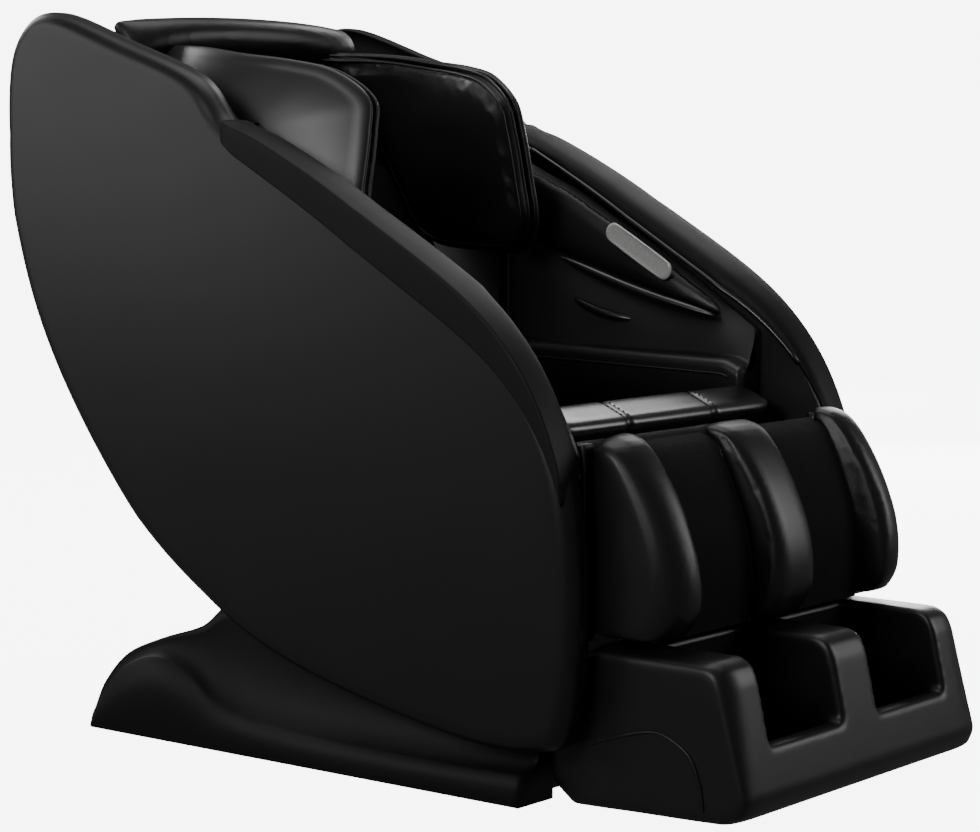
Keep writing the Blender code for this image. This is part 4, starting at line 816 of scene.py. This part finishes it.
class CHAIR_OT_arms(bpy.types.Operator):
    """Inner arm walls, their air cushions and the bare bright plate on one of them"""
    bl_idname = "chair.arms"
    bl_label = "Inner Arms"

    def execute(self, context):
        for word, side in SIDES:
            self.wall(word, side)
            self.web(word, side)
            self.cushion(word, side)
        self.plate(*SIDES[0])
        return {"FINISHED"}

    def wall(self, word, side):
        """One section carried back: upright wall under the rail, hollow channel, rolled shelf."""
        y = np.linspace(ARM_FRONT, ARM_BACK, ARM_STEPS)[:, None]
        top = np.interp(y, ARM_TOP_Y, ARM_TOP_Z)
        lip = SHELF_TOP - 0.005 + 0.010 * (y - ARM_FRONT) / (ARM_REAR - ARM_FRONT)
        lip = lip - 0.012 * np.exp(-((y - ARM_FRONT) / 0.02) ** 2)
        turn = quarter(8)[None, ::-1]
        ones = np.ones_like(y)
        back = LINER_OUT - LINER_WALL
        x = np.hstack([LINER_OUT * ones, back * ones, back * ones, (back - 0.010) * ones,
                       (LINER_IN + SHELF_ROLL * (1 - np.cos(turn))) * ones, LINER_IN * ones,
                       LINER_OUT * ones])
        z = np.hstack([top, top, lip + 0.004, lip - 0.002, lip - SHELF_ROLL * (1 - np.sin(turn)),
                       ARM_LOW * ones, ARM_LOW * ones])
        rings = sections(side * x, y, z)
        # Inner arm wall in the lighter leather: painted fill light.
        made = loft("arm_wall_" + word, rings, "leather_painted_fill")
        settle(made, "body", "arm_liner_" + word)
        seam = at_x(side * (LINER_IN - 0.0004), np.hstack([y, lip - 0.024]))[3:-3]
        settle(tube("arm_seam_" + word, seam, 0.0018), "body")
        stitches("arm_thread_" + word, seam - [0, 0, 0.006], "body")

    def web(self, word, side):
        """A thin wall below the rail's front end, between panel and inner arm."""
        edge = PANEL[RAIL_FROM - RAIL_TAIL + 2:RAIL_FROM + 12:2]
        high, low = edge[:, 1] - EDGE_DROP, np.full(len(edge), ARM_LOW)
        z = np.column_stack([high, high, low, low])
        rings = sections(side * np.array(WEB_X), edge[:, :1], z)
        # Web in the lighter leather: painted fill light.
        settle(loft("arm_web_" + word, rings, "leather_painted_fill", smooth=False), "body")

    def cushion(self, word, side):
        """The padded wall between rail and channel; its lower lip is rolled over the channel."""
        def place(u, v, h):
            y = CUSHION_FROM + CUSHION_LONG * u
            top = np.interp(y, ARM_TOP_Y, ARM_TOP_Z) - EDGE_DROP
            low = LIP_FRONT + LIP_SLOPE * (y - ARM_FRONT)
            x = LINER_OUT - LINER_WALL - 0.0006 - h * (1.0 - 0.35 * v)
            return np.stack([side * x, y, low + (top - low) * v], -1)

        made = pad("arm_padding_" + word, place, CUSHION_THICK, 90, 50, 0.10, power=3.5)
        settle(swell(made, 0.001), "body", "arm_pad_" + word, fill=0.7)
        t = np.linspace(0, 1, 60)
        for name, x, rear, front, thick in ARM_LIPS:
            line = np.outer(1 - t, rear) + np.outer(t, front)
            line[:, 1] -= LIP_SAG * np.sin(math.pi * t)
            path = np.column_stack([side * (x + 0.012 * t ** 3), line])
            full = thick * np.sqrt(np.clip(1 - np.abs(2 * t - 1) ** 3, 0.01, 1))
            settle(tube("arm_lip_%s_%s" % (name, word), path, full[:, None, None],
                        "polished_leather", 16), "body")

    def plate(self, word, side):
        """A plain oval plate: a stadium outline with a rounded edge, flat on the padded wall."""
        turn = np.linspace(0, 2 * math.pi, PLATE_SIDES, endpoint=False)
        along = (PLATE_HALF - PLATE_TALL) * np.clip(3 * np.cos(turn), -1, 1)
        along += PLATE_TALL * np.cos(turn)
        over = PLATE_TALL * np.sin(turn)
        c, s = math.cos(PLATE_SLOPE), math.sin(PLATE_SLOPE)
        oval = np.column_stack([along * c - over * s, along * s + over * c])
        rings = [at_x(side * (PLATE_X - rise), PLATE_AT + share * oval)
                 for share, rise in PLATE_RINGS]
        settle(loft("oval_plate_" + word, rings, "bright_plate"), "body")


class CHAIR_OT_legs(bpy.types.Operator):
    """Calf cushions, channel linings and the foot rest"""
    bl_idname = "chair.legs"
    bl_label = "Leg Rest"

    def execute(self, context):
        def strip(x0, x1):
            def place(u, v, h):
                low, high = calf_line(BED, v), calf_line(CREST, v)
                flat = low + (high - low) * h[..., None]
                return np.concatenate([(x0 + (x1 - x0) * u)[..., None], flat], -1)
            return place

        place = strip(-CALF_RIDGE, CALF_RIDGE)
        made = pad("ridge_padding", place, 0.97, 40, 90, 0.30)
        settle(swell(made, 0.005), "leg", "calf_ridge", fill=0.75)
        for word, side in SIDES:
            self.lobe(word, side)
            place = strip(side * (CALF_RIDGE + CALF_GAP), side * (CALF_LOBE + 0.0250))
            made = pad("channel_lining_" + word, place, 0.22, 40, 80, 0.9, look="lining_cloth")
            settle(made, "leg", "calf_liner_" + word, fill=0.5)
        self.foot()
        return {"FINISHED"}

    def lobe(self, word, side):
        """One outer cushion: at each height a closed curve from the bed over the crest, down the
        outer side and back to the bed, shrunk towards its middle at both ends; a band behind it."""
        v = np.linspace(0, 1, 90)
        bed, crest, rear = (calf_line(line, v) for line in (BED, CREST, REAR))
        hump = 0.42 + 0.58 * np.sqrt(np.clip(1 - np.abs(2 * v - 1) ** 5, 0, 1))
        rise = (crest - bed) * hump[:, None]
        x, up, aft = np.array(LOBE_SECTION).T[:, None, :]
        flat = bed[:, None] + rise[:, None] * up[..., None] + (rear - bed)[:, None] * aft[..., None]
        rings = stand(x, flat)
        near = ramp(np.minimum(v, 1 - v), 0, 0.07)
        shrink = 0.60 + 0.40 * np.sqrt(1 - (1 - near) ** 2)
        middle = rings.mean(1, keepdims=True)
        rings = middle + (rings - middle) * shrink[:, None, None]
        rings = np.stack([curve(ring, 4) for ring in rings])
        rings[..., 0] *= side
        made = loft("lobe_padding_" + word, rings)
        settle(swell(made, 0.003), "leg", "calf_lobe_" + word, "calf_cheek_" + word, fill=0.75)
        band = curve(BAND_POINTS, 8)
        middle = band.mean(0)
        rings = [at_x(side * (CALF_HALF + CALF_GAP + across),
                      middle + (band - middle) * np.array((share, 0.9 + 0.1 * share)))
                 for share, across in BAND_RINGS]
        settle(loft("calf_side_band_" + word, rings), "leg")

    def foot(self):
        """A block from a side outline, drawn in at both ends, with two wells cut out; an even grid
        and smoothing round its edges."""
        turn = quarter(10)[::-1]
        half, draw = FOOT_HALF - FOOT_ROUND * (1 - np.sin(turn)), FOOT_DRAW * (1 - np.cos(turn))
        x = np.concatenate([-half, half[::-1]])
        shrink = np.concatenate([draw, draw[::-1]])
        share = np.where(FOOT_POINTS[:, 1:] > FOOT_MIDDLE[1], 1.0, 0.35)
        pull = (FOOT_MIDDLE - FOOT_POINTS) * share
        rings = stand(x[:, None], FOOT_POINTS + pull * shrink[:, None, None])
        made = loft("foot_cover", rings)
        for _, side in SIDES:
            rings = [at_x(side * at, WELL_POINTS) for at in (WELL_IN, WELL_OUT)]
            tool = loft("well_tool", rings, "lining_cloth")
            cut = made.modifiers.new("well", "BOOLEAN")
            cut.object = tool
            cut.solver = "EXACT"
            bake(made)
            bpy.data.objects.remove(tool)
        regrid(made, FOOT_GRID).use_smooth_shade = True
        soften = made.modifiers.new("soften", "SMOOTH")
        soften.factor = 0.5
        soften.iterations = FOOT_SMOOTH
        settle(made, "foot", "foot_shell", fill=0.85)
        seam = curve(FOOT_SEAM, 10, closed=False)
        for word, side in SIDES:
            path = at_x(side * (FOOT_HALF + 0.0004), seam)
            settle(tube("foot_seam_" + word, path, 0.0022), "foot")
            stitches("foot_thread_" + word, path + [0, 0.004, -0.005], "foot")


class CHAIR_OT_finishes(bpy.types.Operator):
    """Gives every frame node that still shows its finish"""
    bl_idname = "chair.finishes"
    bl_label = "Frame Finishes"

    def execute(self, context):
        slots = {entry["node"]: entry["material_slot"] for entry in frame["record"]["subparts"]}
        for name, thing in frame["nodes"].items():
            thing.data.materials.clear()
            thing.data.materials.append(LOOKS[SLOT_LOOK[slots[name]]])
        return {"FINISHED"}


class CHAIR_OT_stage(bpy.types.Operator):
    """Floor, lights and camera"""
    bl_idname = "chair.stage"
    bl_label = "Stage"

    def execute(self, context):
        corners = FLOOR_HALF * np.array(((-1, -1, 0), (1, -1, 0), (1, 1, 0), (-1, 1, 0)))
        self.backdrop("floor", corners.tolist(), [(0, 1, 2, 3)])
        turn = np.linspace(0, 2 * math.pi, WALL_SIDES, endpoint=False)
        foot = np.stack([WALL_RADIUS * np.cos(turn), WALL_RADIUS * np.sin(turn), 0 * turn], -1)
        wall = np.vstack([foot, foot + [0, 0, WALL_HIGH]])
        ahead = [(k + 1) % WALL_SIDES for k in range(WALL_SIDES)]
        self.backdrop("wall", wall.tolist(), [(k, n, WALL_SIDES + n, WALL_SIDES + k)
                                              for k, n in enumerate(ahead)])
        for lamp in LAMPS:
            self.lamp(*lamp)
        world = bpy.data.worlds.new("studio")
        world.use_nodes = True
        world.node_tree.nodes["Background"].inputs["Color"].default_value = (1, 1, 1, 1)
        world.node_tree.nodes["Background"].inputs["Strength"].default_value = AMBIENT
        context.scene.world = world
        data = bpy.data.cameras.new("photo_camera")
        data.sensor_width = SENSOR
        data.lens = FOCAL_PIXELS / PICTURE_PIXELS * SENSOR
        camera = bpy.data.objects.new("photo_camera", data)
        context.collection.objects.link(camera)
        camera.location = CAMERA_AT
        level = math.cos(CAMERA_DOWN)
        look = Vector((math.sin(CAMERA_TURN) * level, math.cos(CAMERA_TURN) * level,
                       -math.sin(CAMERA_DOWN)))
        camera.rotation_euler = look.to_track_quat("-Z", "Y").to_euler()
        context.scene.camera = camera
        return {"FINISHED"}

    def backdrop(self, name, verts, faces):
        """A pale surface seen behind and under the chair that doesn't mirror in its covers."""
        pale = bpy.data.materials.new("pale_" + name)
        pale.use_nodes = True
        inputs = pale.node_tree.nodes["Principled BSDF"].inputs
        inputs["Base Color"].default_value = (BACKDROP_GREY, BACKDROP_GREY, BACKDROP_GREY, 1)
        inputs["Roughness"].default_value = 0.9
        inputs["Emission Color"].default_value = (1, 1, 1, 1)
        inputs["Emission Strength"].default_value = BACKDROP_GLOW
        mesh = bpy.data.meshes.new(name)
        mesh.from_pydata(verts, [], faces)
        mesh.materials.append(pale)
        thing = bpy.data.objects.new(name, mesh)
        bpy.context.collection.objects.link(thing)
        thing.visible_glossy = False
        thing.visible_diffuse = False
        thing.visible_shadow = False

    def lamp(self, name, at, aim, wide, high, watts):
        """One soft box facing a point."""
        data = bpy.data.lights.new(name, "AREA")
        data.shape = "RECTANGLE"
        data.size, data.size_y, data.energy = wide, high, watts
        thing = bpy.data.objects.new(name, data)
        bpy.context.collection.objects.link(thing)
        thing.visible_camera = False
        thing.location = at
        thing.rotation_euler = (Vector(aim) - Vector(at)).to_track_quat("-Z", "Y").to_euler()


class CHAIR_PT_panel(bpy.types.Panel):
    """Lists the chair's pieces in the sidebar"""
    bl_idname = "CHAIR_PT_panel"
    bl_label = "Massage Chair"
    bl_space_type = "VIEW_3D"
    bl_region_type = "UI"
    bl_category = "Massage Chair"

    def draw(self, context):
        for name in ("shell", "leather", "lining", "voxel"):
            self.layout.prop(context.scene.chair_looks, name)
        for step in STEPS:
            self.layout.operator(step.bl_idname)


STEPS = (CHAIR_OT_finishes, CHAIR_OT_covers, CHAIR_OT_wings, CHAIR_OT_seat, CHAIR_OT_arms,
         CHAIR_OT_legs, CHAIR_OT_stage)
CLASSES = (ChairLooks, *STEPS, CHAIR_PT_panel)


def register():
    for entry in CLASSES:
        bpy.utils.register_class(entry)
    bpy.types.Scene.chair_looks = bpy.props.PointerProperty(type=ChairLooks)


def unregister():
    del bpy.types.Scene.chair_looks
    for entry in reversed(CLASSES):
        bpy.utils.unregister_class(entry)


def main():
    """Registers the add-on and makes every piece."""
    register()
    make_looks(bpy.context.scene.chair_looks)
    for name in ("finishes", "covers", "wings", "seat", "arms", "legs", "stage"):
        getattr(bpy.ops.chair, name)()


if __name__ == "__main__":
    main()
